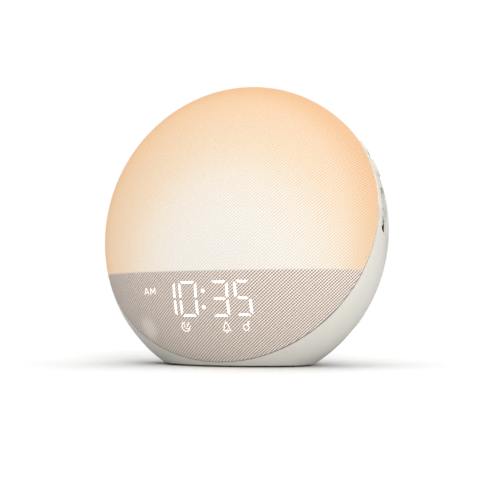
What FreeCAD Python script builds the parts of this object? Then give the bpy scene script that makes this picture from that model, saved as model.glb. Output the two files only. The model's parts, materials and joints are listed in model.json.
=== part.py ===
import FreeCAD, Part
import Sketcher
import math
import os

# Sunrise alarm clock: a pebble-shaped body, cut flat to stand on, whose front is a milky dome
# under stretched cloth and whose back is a moulded housing. Millimetres, +Z up, the front
# towards -Y. The origin is on the table, in the middle of the clock's footprint.

doc = FreeCAD.newDocument("sunrise_alarm_clock")
sheet = doc.addObject("Spreadsheet::Sheet", "sizes")

DRIVING = (
    ("body_radius", 82.0),
    ("front_depth", 44.1),
    ("rear_depth", 54.4),
    ("centre_height", 70.9),
    ("centre_advance", 4.8),
    ("axis_tilt", 5.23),
    ("rim_setback", 9.56),
    ("rim_lean", 10.3),
    ("rim_rise", 5.6),
    ("wall", 2.4),
    ("cloth", 0.8),
    ("dome_wall", 2.2),
    ("seam", 0.3),
    ("foot_height", 0.8),
    ("fit_gap", 0.3),
    ("frame_thickness", 4.0),
    ("panel_thickness", 1.5),
    ("board_thickness", 1.6),
    ("window_radius", 66.0),
    ("horizon_height", 49.4),
    ("shelf_thickness", 2.0),
    ("strip_setback", 9.3),
    ("key_size", 9.2),
    ("key_pitch", 13.3),
    ("key_angle", 30.4),
    ("key_proud", 1.2),
    ("key_travel", 0.7),
    ("bar_length", 34.0),
    ("bar_width", 10.0),
    ("dial_radius", 13.5),
    ("dial_width", 7.0),
    ("dial_height", 11.0),
    ("dial_slot_height", 25.6),
    ("dial_slot_width", 11.8),
    ("shaft_radius", 3.0),
    ("running_gap", 0.05),
    ("grille_radius", 24.1),
    ("grille_thickness", 1.6),
    ("grille_face", 52.2),
    ("speaker_radius", 27.0),
    ("cell_radius", 5.2),
    ("cell_length", 44.5),
    ("cell_pitch", 10.8),
    ("bay_length", 48.8),
    ("bay_width", 33.0),
    ("bay_height", 11.6),
    ("bay_centre", -1.5),
    ("door_thickness", 1.2),
    ("digit_width", 8.9),
    ("digit_height", 16.4),
    ("stroke", 1.7),
    ("display_back", -22.4),
    ("screw_radius", 1.5),
    ("screw_head_radius", 3.0),
)
for row, (alias, value) in enumerate(DRIVING, 1):
    sheet.set("A%d" % row, alias)
    sheet.set("B%d" % row, str(value))
    sheet.setAlias("B%d" % row, alias)
doc.recompute()


class Size:
    """A dimension worked out from the sheet: its value now, and the formula that binds it."""

    def __init__(self, value, formula):
        self.value = value
        self.formula = formula

    def __add__(self, other):
        other = as_size(other)
        return Size(self.value + other.value, "(%s + %s)" % (self.formula, other.formula))

    def __sub__(self, other):
        other = as_size(other)
        return Size(self.value - other.value, "(%s - %s)" % (self.formula, other.formula))

    def __mul__(self, factor):
        return Size(self.value * factor, "(%s * %r)" % (self.formula, factor))

    def __radd__(self, other):
        return as_size(other) + self

    def __rsub__(self, other):
        return as_size(other) - self

    def __neg__(self):
        return self * -1


def as_size(number):
    if isinstance(number, Size):
        return number
    return Size(number, "%r" % float(number))


def cell(alias):
    return Size(float(sheet.get(alias)), "sizes.%s" % alias)


def number(size):
    return as_size(size).value


def bind(obj, name, size):
    """Sets a property, and ties it to the sheet where its size comes from there."""
    if isinstance(size, Size):
        obj.setExpression(name, size.formula)
    else:
        setattr(obj, name, size)


V = FreeCAD.Vector
X_AXIS = V(1, 0, 0)
Y_AXIS = V(0, 1, 0)
Z_AXIS = V(0, 0, 1)
EVERYTHING = 150.0
OUTSIDE = 60.0
FINE = 40
COARSE = 32
CORNER_SIDES = 3


def moved(x, y, z, axis=Z_AXIS, degrees=0.0):
    return FreeCAD.Placement(V(x, y, z), FreeCAD.Rotation(axis, degrees))


# Four frames are used. HERE is the one that a piece is drawn in, before it is put in place. BASE
# is on the table, straight under the centre of the pebble. CLOCK sits at that centre, leant back
# with the pebble, which is round about its Y axis. RIM sits where that axis meets the plane of
# the cloth's rim, and leans further back with that plane.
HERE = moved(0, 0, 0)
BASE = moved(0, -number(cell("centre_advance")), 0)
CLOCK = BASE.multiply(moved(0, 0, number(cell("centre_height")), X_AXIS, -number(cell("axis_tilt"))))
FLAT = CLOCK.inverse()
RIM = moved(0, -number(cell("rim_setback")), 0, X_AXIS, -number(cell("rim_lean")))


def box(name, frame, x, y, z):
    """A box between pairs of coordinates in a frame."""
    b = doc.addObject("Part::Box", name)
    for prop, (low, high) in (("Length", x), ("Width", y), ("Height", z)):
        bind(b, prop, as_size(high) - low)
    b.Placement = frame.multiply(moved(number(x[0]), number(y[0]), number(z[0])))
    return b


TURNS = {
    "x": (Y_AXIS, 90.0),
    "y": (X_AXIS, -90.0),
    "z": (Z_AXIS, 0.0),
}


def sides_for(radius):
    """How many flat sides stand for a round one, by its size."""
    for most, sides in ((2.2, 6), (3.4, 8), (9.0, 12), (30.0, 24)):
        if number(radius) < most:
            return sides
    return FINE


def rod(name, frame, along, start, end, radius, at=(0.0, 0.0), smooth=False):
    """A rod along one axis of a frame; at gives its place on the other two, in order.

    Only what turns, bears or takes a plug is smooth. The rest is a prism of many sides.
    """
    if smooth:
        c = doc.addObject("Part::Cylinder", name)
        bind(c, "Radius", radius)
    else:
        c = doc.addObject("Part::Prism", name)
        c.Polygon = sides_for(radius)
        bind(c, "Circumradius", radius)
    bind(c, "Height", as_size(end) - start)
    low = number(start)
    a, b = number(at[0]), number(at[1])
    spot = {"x": (low, a, b), "y": (a, low, b), "z": (a, b, low)}[along]
    c.Placement = frame.multiply(moved(*spot, *TURNS[along]))
    return c


def joined(name, pieces):
    f = doc.addObject("Part::MultiFuse", name)
    f.Shapes = list(pieces)
    return f


def group(name, pieces):
    g = doc.addObject("Part::Compound", name)
    g.Links = list(pieces)
    return g


def cut(name, base, tools):
    tools = list(tools)
    c = doc.addObject("Part::Cut", name)
    c.Base = base
    c.Tool = tools[0] if len(tools) == 1 else group(name + "_tools", tools)
    return c


def common(name, base, tool):
    c = doc.addObject("Part::Common", name)
    c.Base = base
    c.Tool = tool
    return c


def sketch(body, name, plane, offset=0.0):
    """An empty sketch on one of a body's own planes, moved along that plane's normal."""
    s = body.newObject("Sketcher::SketchObject", name)
    planes = [f for f in body.Origin.OriginFeatures if f.Role == plane]
    s.AttachmentSupport = [(planes[0], "")]
    s.MapMode = "FlatFace"
    s.AttachmentOffset = moved(0, 0, number(offset))
    return s


def fix_point(s, geometry, end, x, y):
    """Ties a point of a sketch to its two distances from the sketch's origin."""
    for kind, size, axis in (("DistanceX", x, -2), ("DistanceY", y, -1)):
        if abs(number(size)) < 1e-9:
            s.addConstraint(Sketcher.Constraint("PointOnObject", geometry, end, axis))
            continue
        index = s.addConstraint(Sketcher.Constraint(kind, -1, 1, geometry, end, number(size)))
        if isinstance(size, Size):
            s.setExpression("Constraints[%d]" % index, size.formula)


def draw_polygon(s, points):
    first = s.GeometryCount
    count = len(points)
    ends = [V(number(x), number(y), 0) for x, y in points]
    for k in range(count):
        s.addGeometry(Part.LineSegment(ends[k], ends[(k + 1) % count]))
    for k in range(count):
        s.addConstraint(Sketcher.Constraint("Coincident", first + k, 2, first + (k + 1) % count, 1))
        fix_point(s, first + k, 1, *points[k])


def soft_rectangle(half_x, half_y, corner, middle=0.0):
    """The points round a rectangle whose corners are turned with a few flat sides each."""
    points = []
    for quarter, (x, y) in enumerate(((1, 1), (-1, 1), (-1, -1), (1, -1))):
        for step in range(CORNER_SIDES + 1):
            turn = math.pi / 2 * (quarter + step / CORNER_SIDES)
            points.append((half_x * x + (middle - corner * (x - math.cos(turn))),
                           half_y * y - corner * (y - math.sin(turn))))
    return points


def draw_circle(s, radius, x=0.0, y=0.0):
    index = s.addGeometry(Part.Circle(V(number(x), number(y), 0), Z_AXIS, number(radius)))
    fix_point(s, index, 3, x, y)
    tie = s.addConstraint(Sketcher.Constraint("Radius", index, number(radius)))
    if isinstance(radius, Size):
        s.setExpression("Constraints[%d]" % tie, radius.formula)


def new_body(name):
    return doc.addObject("PartDesign::Body", name)


def pad(body, s, length):
    p = body.newObject("PartDesign::Pad", s.Name + "_pad")
    p.Profile = s
    bind(p, "Length", length)
    return p


def bevel_edges(body, size, test):
    """Bevels the edges of a body's last feature that pass a test."""
    doc.recompute([body])
    tip = body.Tip
    names = ["Edge%d" % k for k, e in enumerate(tip.Shape.Edges, 1) if test(e)]
    f = body.newObject("PartDesign::Chamfer", body.Name + "_bevel")
    f.Base = (tip, names)
    bind(f, "Size", size)
    return f


PIECES = []


def finish(obj, label, frame=CLOCK):
    """Names a finished piece and puts it in place."""
    obj.Label = label
    obj.Placement = frame.multiply(obj.Placement)
    PIECES.append(obj)


# The pebble. Every shell is cut from one of these eggs, which are round about the Y axis, with
# a shallower half in front than behind. Flat facets keep their number small.


def turned(name, profile, sides):
    """A solid turned about the Y axis with flat sides, from pairs of radius and depth."""
    rings = []
    for radius, y in profile:
        r = number(radius)
        turns = [2 * math.pi * j / sides for j in range(sides)]
        ring = [V(r * math.cos(t), number(y), r * math.sin(t)) for t in turns]
        rings.append(ring + ring[:1])
    faces = []
    for near, far in zip(rings, rings[1:]):
        for j in range(sides):
            corners = [near[j], near[j + 1], far[j + 1], far[j]]
            corners = [p for k, p in enumerate(corners) if p != corners[k - 1]]
            faces.append(Part.Face(Part.makePolygon(corners + corners[:1])))
    f = doc.addObject("Part::Feature", name)
    f.Shape = Part.Solid(Part.Shell(faces))
    return f


def egg(name, inset, sides, steps):
    radius = cell("body_radius") - inset
    depths = (cell("front_depth") - inset, cell("rear_depth") - inset)
    profile = []
    for k in range(-steps, steps + 1):
        angle = math.pi / 2 * k / steps
        spread = math.cos(angle) if abs(k) < steps else 0.0
        profile.append((radius * spread, depths[k > 0] * math.sin(angle)))
    return turned(name, profile, sides)


skin = egg("skin", 0.0, FINE, 8)
under_cloth = egg("under_cloth", cell("cloth"), FINE, 8)
in_dome = egg("in_dome", cell("cloth") + cell("dome_wall"), COARSE, 6)
in_housing = egg("in_housing", cell("wall"), COARSE, 6)
in_frame = egg("in_frame", cell("wall") + cell("fit_gap"), COARSE, 6)
in_chamber = egg("in_chamber", cell("cloth") + cell("dome_wall") + 0.4, COARSE, 6)


def surface_depth(x, z, inset=0.0):
    """How far back the egg's rear surface is, beside the point x, z."""
    radius = number(cell("body_radius")) - inset
    depth = number(cell("rear_depth")) - inset
    return depth * math.sqrt(1 - (x * x + z * z) / radius ** 2)


def reach(frame, inset=0.0):
    """How far it is from a frame's origin, along its Z axis, to the egg's surface."""
    low, high = 0.0, number(cell("body_radius")) * 2
    for _ in range(50):
        middle = (low + high) / 2
        p = frame.multVec(V(0, 0, middle))
        depth = number(cell("front_depth") if p.y < 0 else cell("rear_depth")) - inset
        radius = number(cell("body_radius")) - inset
        inside = (p.x ** 2 + p.z ** 2) / radius ** 2 + (p.y / depth) ** 2 < 1
        low, high = (middle, high) if inside else (low, middle)
    return low


def ahead_of(name, setback):
    """All that lies in front of a plane parallel to the rim's."""
    return box(name, RIM, (-EVERYTHING, EVERYTHING), (-EVERYTHING, setback),
               (-EVERYTHING, EVERYTHING))


def rim_slab(name, front, back):
    return box(name, RIM, (-EVERYTHING, EVERYTHING), (front, back), (-EVERYTHING, EVERYTHING))


def below(name, height):
    """All that lies below a level over the table."""
    return box(name, FLAT, (-EVERYTHING, EVERYTHING), (-EVERYTHING, EVERYTHING),
               (-EVERYTHING, height))


seam = cell("seam")
rise = cell("rim_rise")
floor_bottom = cell("foot_height")
floor_top = floor_bottom + cell("wall")
frame_front = seam - 0.05
frame_back = frame_front + cell("frame_thickness")
window = cell("window_radius")
ring_reach = window + 3.0

# The cloth: one stretched sheet over the whole dome, down to the rim.
cloth_front = common("cloth_front", skin, ahead_of("cloth_side", -seam))
finish(cut("cloth", cloth_front, [under_cloth]), "fabric_cover")

# The dome: milky plastic under the cloth, with a flange turned inwards at the rim.
flange_width = 2.0
dome_front = common("dome_front", under_cloth, ahead_of("dome_side", -seam))
dome_flange = common("dome_flange", under_cloth, rim_slab("flange_slab", -seam - flange_width, -seam))
dome_flange = cut("dome_flange_ring", dome_flange,
                  [rod("flange_hole", RIM, "y", -30.0, 30.0, ring_reach + 0.3, (0.0, rise))])
finish(joined("dome", [cut("dome_shell", dome_front, [in_dome]), dome_flange]), "diffuser_dome")

# The hoop that clamps the cloth's turned hem behind the dome's flange.
hoop = common("hoop_disc", in_frame, rim_slab("hoop_slab", -seam, frame_front))
finish(cut("hoop", hoop, [rod("hoop_hole", RIM, "y", -5.0, 5.0, window + 7.0, (0.0, rise))]),
       "fabric_hoop")

# The front frame: a flat bulkhead in the housing's mouth, with a round window above the shelf.
shelf_middle = cell("horizon_height")
shelf_top = shelf_middle + cell("shelf_thickness") * 0.5
shelf_bottom = shelf_middle - cell("shelf_thickness") * 0.5
wells = []
for side in (-1, 1):
    wells.append((side * 47.0, 36.0))
    wells.append((side * 47.0, -38.0))


def rim_plane_depth(z, setback):
    """Where a plane parallel to the rim's is, at a height z in CLOCK."""
    lean = math.radians(number(cell("rim_lean")))
    return (number(setback) + z * math.sin(lean)) / math.cos(lean) - number(cell("rim_setback"))


window_hole = cut("window_hole", rod("window_rod", RIM, "y", -30.0, 30.0, window - 18.0, (0.0, rise)),
                  [below("window_sill", shelf_top + 3.0)])
screw_holes = []
for k, (x, z) in enumerate(wells):
    start = rim_plane_depth(z, frame_front) - 2.0
    screw_holes.append(rod("frame_screw_hole%d" % k, HERE, "y", start, start + 12.0,
                           cell("screw_radius") + 0.05, (x, z)))
frame_disc = common("frame_disc", in_frame, rim_slab("frame_slab", frame_front, frame_back))
frame_ring = cut("frame_ring", frame_disc, [window_hole, below("frame_foot", floor_top + 0.3)])
finish(cut("bulkhead", frame_ring, screw_holes), "front_frame")

# The lamp's back: a white panel over the window, a round board on it, and the light sources.
panel_front = frame_front - cell("panel_thickness")
panel_disc = rod("panel_disc", RIM, "y", panel_front, frame_front, ring_reach, (0.0, rise))
finish(cut("panel", panel_disc, [below("panel_sill", shelf_top)]), "reflector_panel")
board_front = panel_front - cell("board_thickness")
led_disc = rod("led_disc", RIM, "y", board_front, panel_front, window - 10.0, (0.0, rise))
finish(cut("led_plate", led_disc, [below("led_sill", shelf_top + 3.0)]), "led_board")
lights = []
LIGHT_RINGS = ((15.0, 6), (31.0, 12))
LIGHT_HEIGHT = 20.0
LIGHT_SIZE = 5.0
for radius, count in LIGHT_RINGS:
    for k in range(count):
        turn = 2 * math.pi * (k + 0.5) / count
        x = radius * math.cos(turn)
        z = LIGHT_HEIGHT + radius * math.sin(turn)
        lights.append(box("light_%d_%d" % (radius, k), RIM,
                          (x - LIGHT_SIZE / 2, x + LIGHT_SIZE / 2), (board_front - 1.6, board_front),
                          (z - LIGHT_SIZE / 2, z + LIGHT_SIZE / 2)))
finish(group("lights", lights), "glow_leds")

# The shelf that parts the lit dome from the display, level with the table.
shelf_slab = box("shelf_slab", FLAT, (-EVERYTHING, EVERYTHING), (-EVERYTHING, EVERYTHING),
                 (shelf_bottom, shelf_top))
shelf_front = common("shelf_front", common("shelf_disc", in_chamber, shelf_slab),
                     ahead_of("shelf_side", -seam - flange_width - 0.2))
shelf_tail_rod = rod("shelf_tail_rod", RIM, "y", -seam - flange_width - 0.4, frame_front,
                     ring_reach - 0.2, (0.0, rise))
shelf_tail = cut("shelf_tail", common("shelf_tail_slab", shelf_tail_rod, shelf_slab), [panel_disc])
finish(joined("shelf", [shelf_front, shelf_tail]), "light_partition")

# The display: a block of light cells behind the lower dome, one guide in each cell, a board
# with a light for each, and the board's two spacers.
display_back = cell("display_back")
half_width = cell("digit_width") * 0.5
half_height = cell("digit_height") * 0.5
half_stroke = cell("stroke") * 0.5
DIGIT_CENTRES = (-23.3, -10.6, 7.0, 19.9)
DIGIT_MIDDLE = -39.4
COLON = (-1.8, 4.05)
AM_PM = ((-38.6, -30.8, -36.3, -33.2), (-38.6, -30.8, -42.0, -38.9))
ICONS = ((-14.0, -53.0), (9.2, -53.0), (19.9, -52.6))
ICON_HALF = 2.6
cells_front = -48.0


def cell_box(name, x, z):
    return box(name, HERE, x, (cells_front, display_back), z)


def strokes(name, middle):
    """The seven strokes of one digit."""
    left = -half_width + middle
    right = half_width + middle
    top = half_height + DIGIT_MIDDLE
    bottom = -half_height + DIGIT_MIDDLE
    centre = as_size(DIGIT_MIDDLE)
    gap = half_stroke + 0.3
    made = []
    for k, level in enumerate((top, centre, bottom)):
        made.append(cell_box("%s_bar%d" % (name, k), (left + gap, right - gap),
                             (level - half_stroke, level + half_stroke)))
    for k, (low, high) in enumerate(((bottom, centre), (centre, top))):
        for side, x in (("left", left), ("right", right)):
            made.append(cell_box("%s_%s%d" % (name, side, k), (x - half_stroke, x + half_stroke),
                                 (low + gap, high - gap)))
    return made


guides = []
for k, middle in enumerate(DIGIT_CENTRES):
    guides += strokes("digit%d" % k, middle)
for k, side in enumerate((-1, 1)):
    guides.append(rod("colon%d" % k, HERE, "y", as_size(cells_front), display_back, 1.2,
                      (COLON[0], DIGIT_MIDDLE + side * COLON[1])))
for k, (x_low, x_high, z_low, z_high) in enumerate(AM_PM):
    guides.append(cell_box("am_pm%d" % k, (x_low, x_high), (z_low, z_high)))
for k, (x, z) in enumerate(ICONS):
    guides.append(cell_box("icon%d" % k, (x - ICON_HALF, x + ICON_HALF), (z - ICON_HALF, z + ICON_HALF)))
guide_prisms = group("guide_prisms", guides)
mask_block = box("mask_block", HERE, (-43.0, 43.0), (cells_front, display_back), (-57.0, -27.2))
mask_body = common("mask_body", in_chamber, mask_block)
finish(cut("mask", mask_body, [guide_prisms]), "display_mask")
finish(common("guides", guide_prisms, in_chamber), "display_segments")
chip_back = display_back + 0.9
doc.recompute()
display_leds = []
for k, guide in enumerate(guides):
    middle = guide.Shape.BoundBox.Center
    display_leds.append(box("chip%d" % k, HERE, (middle.x - 0.6, middle.x + 0.6),
                            (display_back + 0.1, chip_back), (middle.z - 0.6, middle.z + 0.6)))
finish(group("display_lights", display_leds), "display_leds")
spacers = [rod("spacer%d" % k, HERE, "y", chip_back + cell("board_thickness"), -10.0, 2.5, (x, -40.0))
           for k, x in enumerate((-38.0, 38.0))]
board_block = box("display_plate", HERE, (-40.0, 40.0), (chip_back, chip_back + cell("board_thickness")),
                  (-47.5, -28.0))
finish(common("display_card", in_chamber, board_block), "display_board")
finish(common("spacers", group("spacer_rods", spacers), ahead_of("spacer_side", frame_front)),
       "display_spacers")

# The control strip: keys on both flanks and on the top, all behind the rim.
strip = number(cell("strip_setback"))


def flank_frame(side):
    """Its origin is on the strip's axis, its Z axis points out through the middle of the keys."""
    angle = 90.0 - number(cell("key_angle"))
    return RIM.multiply(moved(0, strip, 0, Y_AXIS, side * angle))


TOP_SETBACK = 13.0
TOP_TILT = -16.0
top_frame = RIM.multiply(moved(0, TOP_SETBACK, 0, X_AXIS, TOP_TILT))
half_key = cell("key_size") * 0.5
half_pitch = cell("key_pitch") * 0.5
KEY_DEPTH = 7.0
BAR_DEPTH = 9.0
LIP_HEIGHT = 1.2
STEM_LENGTH = 1.2
SWITCH_HEIGHT = 3.5
PLUNGER = 1.0
KEY_CORNER = 2.4
CARD_POSTS = ((-5.5, 8.6), (5.5, 8.6))
BAR_POSTS = ((-20.8, 0.0), (20.8, 0.0))


def key_cap(name, x, half_x, half_y, top, depth, trim=None):
    """A rounded cap with a retaining lip at its two ends and a stem under it.

    Its face is flat with bevelled edges, or follows the body it is trimmed to.
    """
    body = new_body(name)
    bottom = top - depth
    s = sketch(body, name + "_outline", "XY_Plane", bottom)
    draw_polygon(s, soft_rectangle(half_x, half_y, KEY_CORNER, x))
    pad(body, s, depth)
    if not trim:
        bevel_edges(body, 0.7, lambda e: e.BoundBox.ZMin > top - 0.01)
    face = common(name + "_face", body, trim) if trim else body
    lip = box(name + "_lip", HERE, (-half_x + x - 1.0, half_x + x + 1.0), (-half_y + 1.2, half_y - 1.2),
              (bottom - 0.01, bottom + LIP_HEIGHT))
    stem = rod(name + "_stem", HERE, "z", bottom - STEM_LENGTH, bottom + 0.5, 2.0, (x, 0.0))
    return joined(name + "_cap", [face, lip, stem])


def key_hole(name, frame, x, half_x, half_y, top, depth):
    """The opening for a cap, through the wall and no deeper than the cap's lip."""
    body = new_body(name)
    s = sketch(body, name + "_outline", "XY_Plane", top - depth + LIP_HEIGHT + 0.1)
    gap = cell("fit_gap")
    draw_polygon(s, soft_rectangle(half_x + gap, half_y + gap, KEY_CORNER + number(gap), x))
    pad(body, s, depth + 6.0)
    body.Placement = frame
    return body


housing_holes = []
housing_posts = []
side_screws = []
for side, hand in ((-1, "left"), (1, "right")):
    frame = flank_frame(side)
    top = reach(frame) + number(cell("key_proud")) - 0.25
    lower_end = top - KEY_DEPTH - STEM_LENGTH
    for level, x in (("upper", -half_pitch), ("lower", half_pitch)):
        x = x * side
        label = "%s_%s_key" % (hand, level)
        cap = key_cap(label + "_body", x, half_key, half_key, top, KEY_DEPTH)
        finish(cap, label, CLOCK.multiply(frame))
        housing_holes.append(key_hole(label + "_hole", frame, x, half_key, half_key, top, KEY_DEPTH))
    plunger_top = lower_end - number(cell("key_travel")) - 0.3
    switch_top = plunger_top - PLUNGER
    switch_bottom = switch_top - SWITCH_HEIGHT
    switches = []
    for level, x in (("upper", -half_pitch), ("lower", half_pitch)):
        middle = number(x)
        name = "%s_%s_switch" % (hand, level)
        case = box(name, HERE, (middle - 3.0, middle + 3.0), (-3.0, 3.0), (switch_bottom, switch_top))
        plunger = rod(name + "_plunger", HERE, "z", switch_top - 0.5, plunger_top, 1.6, (middle, 0.0))
        switches.append(joined(name + "_body", [case, plunger]))
    finish(group(hand + "_switch_group", switches), hand + "_switches", CLOCK.multiply(frame))
    card = box(hand + "_card", HERE, (-10.0, 10.0), (-4.6, 11.4),
               (switch_bottom - cell("board_thickness"), switch_bottom))
    card_holes = []
    for k, spot in enumerate(CARD_POSTS):
        card_holes.append(rod("%s_card_hole%d" % (hand, k), HERE, "z", switch_bottom - 5.0,
                              switch_bottom + 5.0, 1.3, spot))
        housing_posts.append(rod("%s_card_post%d" % (hand, k), frame, "z", switch_bottom,
                                 top + 2.0, 2.4, spot))
        housing_holes.append(rod("%s_post_hole%d" % (hand, k), frame, "z", switch_bottom - 1.0,
                                 switch_bottom + 5.0, 1.05, spot))
        under = switch_bottom - number(cell("board_thickness"))
        head = rod("%s_screw_head%d" % (hand, k), frame, "z", under - 1.4, under, 2.0, spot)
        shank = rod("%s_screw_shank%d" % (hand, k), frame, "z", under - 0.5, under + 5.6, 1.0, spot)
        side_screws.append(joined("%s_screw%d" % (hand, k), [head, shank]))
    finish(cut(hand + "_card_plate", card, card_holes), hand + "_key_board", CLOCK.multiply(frame))

# The long bar on top, for snooze and for the light. Its face follows the housing, a little proud.
bar_half_length = cell("bar_length") * 0.5
bar_half_width = cell("bar_width") * 0.5
bar_top = reach(top_frame) + 0.6
over_bar = egg("over_bar", -0.4, FINE, 8)
over_bar.Placement = top_frame.inverse()
bar = key_cap("snooze_body", 0.0, bar_half_length, bar_half_width, bar_top, BAR_DEPTH, over_bar)
finish(bar, "snooze_bar", CLOCK.multiply(top_frame))
housing_holes.append(key_hole("snooze_hole", top_frame, 0.0, bar_half_length, bar_half_width, bar_top,
                              BAR_DEPTH))
bar_end = bar_top - BAR_DEPTH - STEM_LENGTH
bar_plunger = bar_end - number(cell("key_travel")) - 0.3
bar_switch = bar_plunger - PLUNGER
case = box("snooze_switch_case", HERE, (-3.0, 3.0), (-3.0, 3.0), (bar_switch - SWITCH_HEIGHT, bar_switch))
plunger = rod("snooze_plunger", HERE, "z", bar_switch - 0.5, bar_plunger, 1.6)
finish(joined("snooze_switch_body", [case, plunger]), "snooze_switch", CLOCK.multiply(top_frame))
bar_card = bar_switch - SWITCH_HEIGHT
card = box("snooze_card", HERE, (-23.5, 23.5), (-4.5, 4.5), (bar_card - cell("board_thickness"), bar_card))
card_holes = []
for k, spot in enumerate(BAR_POSTS):
    card_holes.append(rod("snooze_card_hole%d" % k, HERE, "z", bar_card - 5.0, bar_card + 5.0, 1.3,
                          spot))
    housing_posts.append(rod("snooze_post%d" % k, top_frame, "z", bar_card, bar_top + 2.0, 2.4, spot))
    housing_holes.append(rod("snooze_post_hole%d" % k, top_frame, "z", bar_card - 1.0, bar_card + 5.0,
                             1.05, spot))
    under = bar_card - number(cell("board_thickness"))
    head = rod("snooze_screw_head%d" % k, top_frame, "z", under - 1.4, under, 2.0, spot)
    shank = rod("snooze_screw_shank%d" % k, top_frame, "z", under - 0.5, under + 5.6, 1.0, spot)
    side_screws.append(joined("snooze_screw%d" % k, [head, shank]))
finish(cut("snooze_card_plate", card, card_holes), "snooze_board", CLOCK.multiply(top_frame))
finish(group("board_screw_group", side_screws), "key_board_screws")

# The dial: a knurled wheel standing in a slot in the right flank, on the shaft of an encoder.
dial_radius = cell("dial_radius")
dial_level = cell("dial_height")
flank = reach(RIM.multiply(moved(0, strip, number(dial_level), Y_AXIS, 90.0)))
dial_x = flank - 0.8 - number(dial_radius)
dial_half = cell("dial_width") * 0.5
dial_frame = RIM.multiply(moved(dial_x, strip, number(dial_level)))
KNURLS = 20
wheel = new_body("wheel")
wheel_sketch = sketch(wheel, "wheel_outline", "XZ_Plane", -dial_half)
turns = [2 * math.pi * k / KNURLS for k in range(KNURLS)]
draw_polygon(wheel_sketch, [(dial_radius * math.cos(t), dial_radius * math.sin(t)) for t in turns])
draw_circle(wheel_sketch, cell("shaft_radius"))
pad(wheel, wheel_sketch, dial_half * 2)
doc.recompute()
groove_sketch = sketch(wheel, "groove_outline", "XZ_Plane", -dial_half - 1.0)
draw_polygon(groove_sketch, ((dial_radius - 0.8, -0.45), (dial_radius + 1.0, -0.9),
                             (dial_radius + 1.0, 0.9), (dial_radius - 0.8, 0.45)))
groove = wheel.newObject("PartDesign::Pocket", "groove")
groove.Profile = groove_sketch
groove.Reversed = True
bind(groove, "Length", dial_half * 2 + 2.0)
doc.recompute()
knurl = wheel.newObject("PartDesign::PolarPattern", "knurl")
knurl.Originals = [groove]
knurl.Axis = (wheel_sketch, ["N_Axis"])
knurl.Angle = 360.0
knurl.Occurrences = KNURLS
wheel.Tip = knurl
finish(wheel, "dial_wheel", CLOCK.multiply(dial_frame))
bracket_front = dial_half + 1.6
bracket_back = bracket_front + 2.0
finish(rod("shaft", HERE, "y", -dial_half, bracket_back + 0.4, cell("shaft_radius"), smooth=True),
       "dial_shaft",
       CLOCK.multiply(dial_frame))
shaft_hole = cell("shaft_radius") + cell("running_gap")
bracket_plate = box("bracket_plate", dial_frame, (-16.0, 30.0), (bracket_front, bracket_back),
                    (-13.5, 10.0))
bracket_plate = common("bracket_trimmed", in_frame, bracket_plate)
bracket_screws = []
bracket_holes = [rod("bracket_bore", dial_frame, "y", bracket_front - 1.0, bracket_back + 1.0, shaft_hole,
                     smooth=True)]
for k, z in enumerate((-10.5, 7.0)):
    x = -13.0
    back = number(bracket_back)
    bracket_holes.append(rod("bracket_hole%d" % k, dial_frame, "y", back - 4.0, back + 2.0, 1.3, (x, z)))
    housing_posts.append(rod("bracket_post%d" % k, dial_frame, "y", back, 60.0, 2.8, (x, z)))
    housing_holes.append(rod("bracket_post_hole%d" % k, dial_frame, "y", back - 1.0, back + 6.0, 1.05,
                             (x, z)))
    front = number(bracket_front)
    head = rod("bracket_screw_head%d" % k, dial_frame, "y", front - 1.4, front, 2.0, (x, z))
    shank = rod("bracket_screw_shank%d" % k, dial_frame, "y", front - 0.5, front + 7.0, 1.0, (x, z))
    bracket_screws.append(joined("bracket_screw%d" % k, [head, shank]))
finish(cut("bracket", bracket_plate, bracket_holes), "dial_bracket")
finish(group("bracket_screw_group", bracket_screws), "dial_screws")
encoder_case = box("encoder_case", dial_frame, (-6.0, 6.0), (bracket_back, bracket_back + 6.0), (-6.0, 6.0))
encoder_bore = rod("encoder_bore", dial_frame, "y", bracket_back - 1.0, bracket_back + 0.8, shaft_hole,
                   smooth=True)
finish(cut("encoder", encoder_case, [encoder_bore]), "dial_encoder")
slot_half_height = cell("dial_slot_height") * 0.5
slot_half_width = cell("dial_slot_width") * 0.5
slot = new_body("dial_slot")
slot_sketch = sketch(slot, "slot_outline", "XY_Plane", 8.0)
draw_polygon(slot_sketch, soft_rectangle(slot_half_height, slot_half_width, 4.0))
pad(slot, slot_sketch, 30.0)
slot.Placement = dial_frame.multiply(moved(0, 0, 0, Y_AXIS, 90.0))
housing_holes.append(slot)

# The speaker, which faces backwards through a honeycomb grille in the middle of the back.
grille_face = cell("grille_face")
seat = grille_face - cell("grille_thickness")
grille_radius = cell("grille_radius")
collar_front = seat - 5.2
CELL_PITCH = 6.0
CELL_RADIUS = 2.5
RINGS = 3
combs = []
for row in range(-RINGS, RINGS + 1):
    for column in range(-RINGS, RINGS + 1):
        if abs(row + column) > RINGS:
            continue
        comb = doc.addObject("Part::Prism", "comb_%d_%d" % (row + RINGS, column + RINGS))
        comb.Polygon = 6
        comb.Circumradius = CELL_RADIUS
        comb.Height = 6.0
        x = CELL_PITCH * (column + row / 2)
        z = CELL_PITCH * row * math.sqrt(3) / 2
        comb.Placement = moved(x, number(seat) - 2.0, z, *TURNS["y"]).multiply(
            moved(0, 0, 0, Z_AXIS, 30.0))
        combs.append(comb)
grille_disc = rod("grille_disc", HERE, "y", seat, grille_face, grille_radius)
finish(cut("grille", grille_disc, combs), "speaker_grille")
speaker_radius = cell("speaker_radius")
basket_back = collar_front - 1.6
basket = turned("basket", (
    (0.0, basket_back - 9.4), (14.0, basket_back - 9.4), (20.0, basket_back), (speaker_radius, basket_back),
    (speaker_radius, collar_front), (21.5, collar_front), (13.0, basket_back - 7.8),
    (0.0, basket_back - 7.8),
), 20)
SPEAKER_BOLT = 25.0
speaker_screws = []
basket_holes = []
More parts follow.
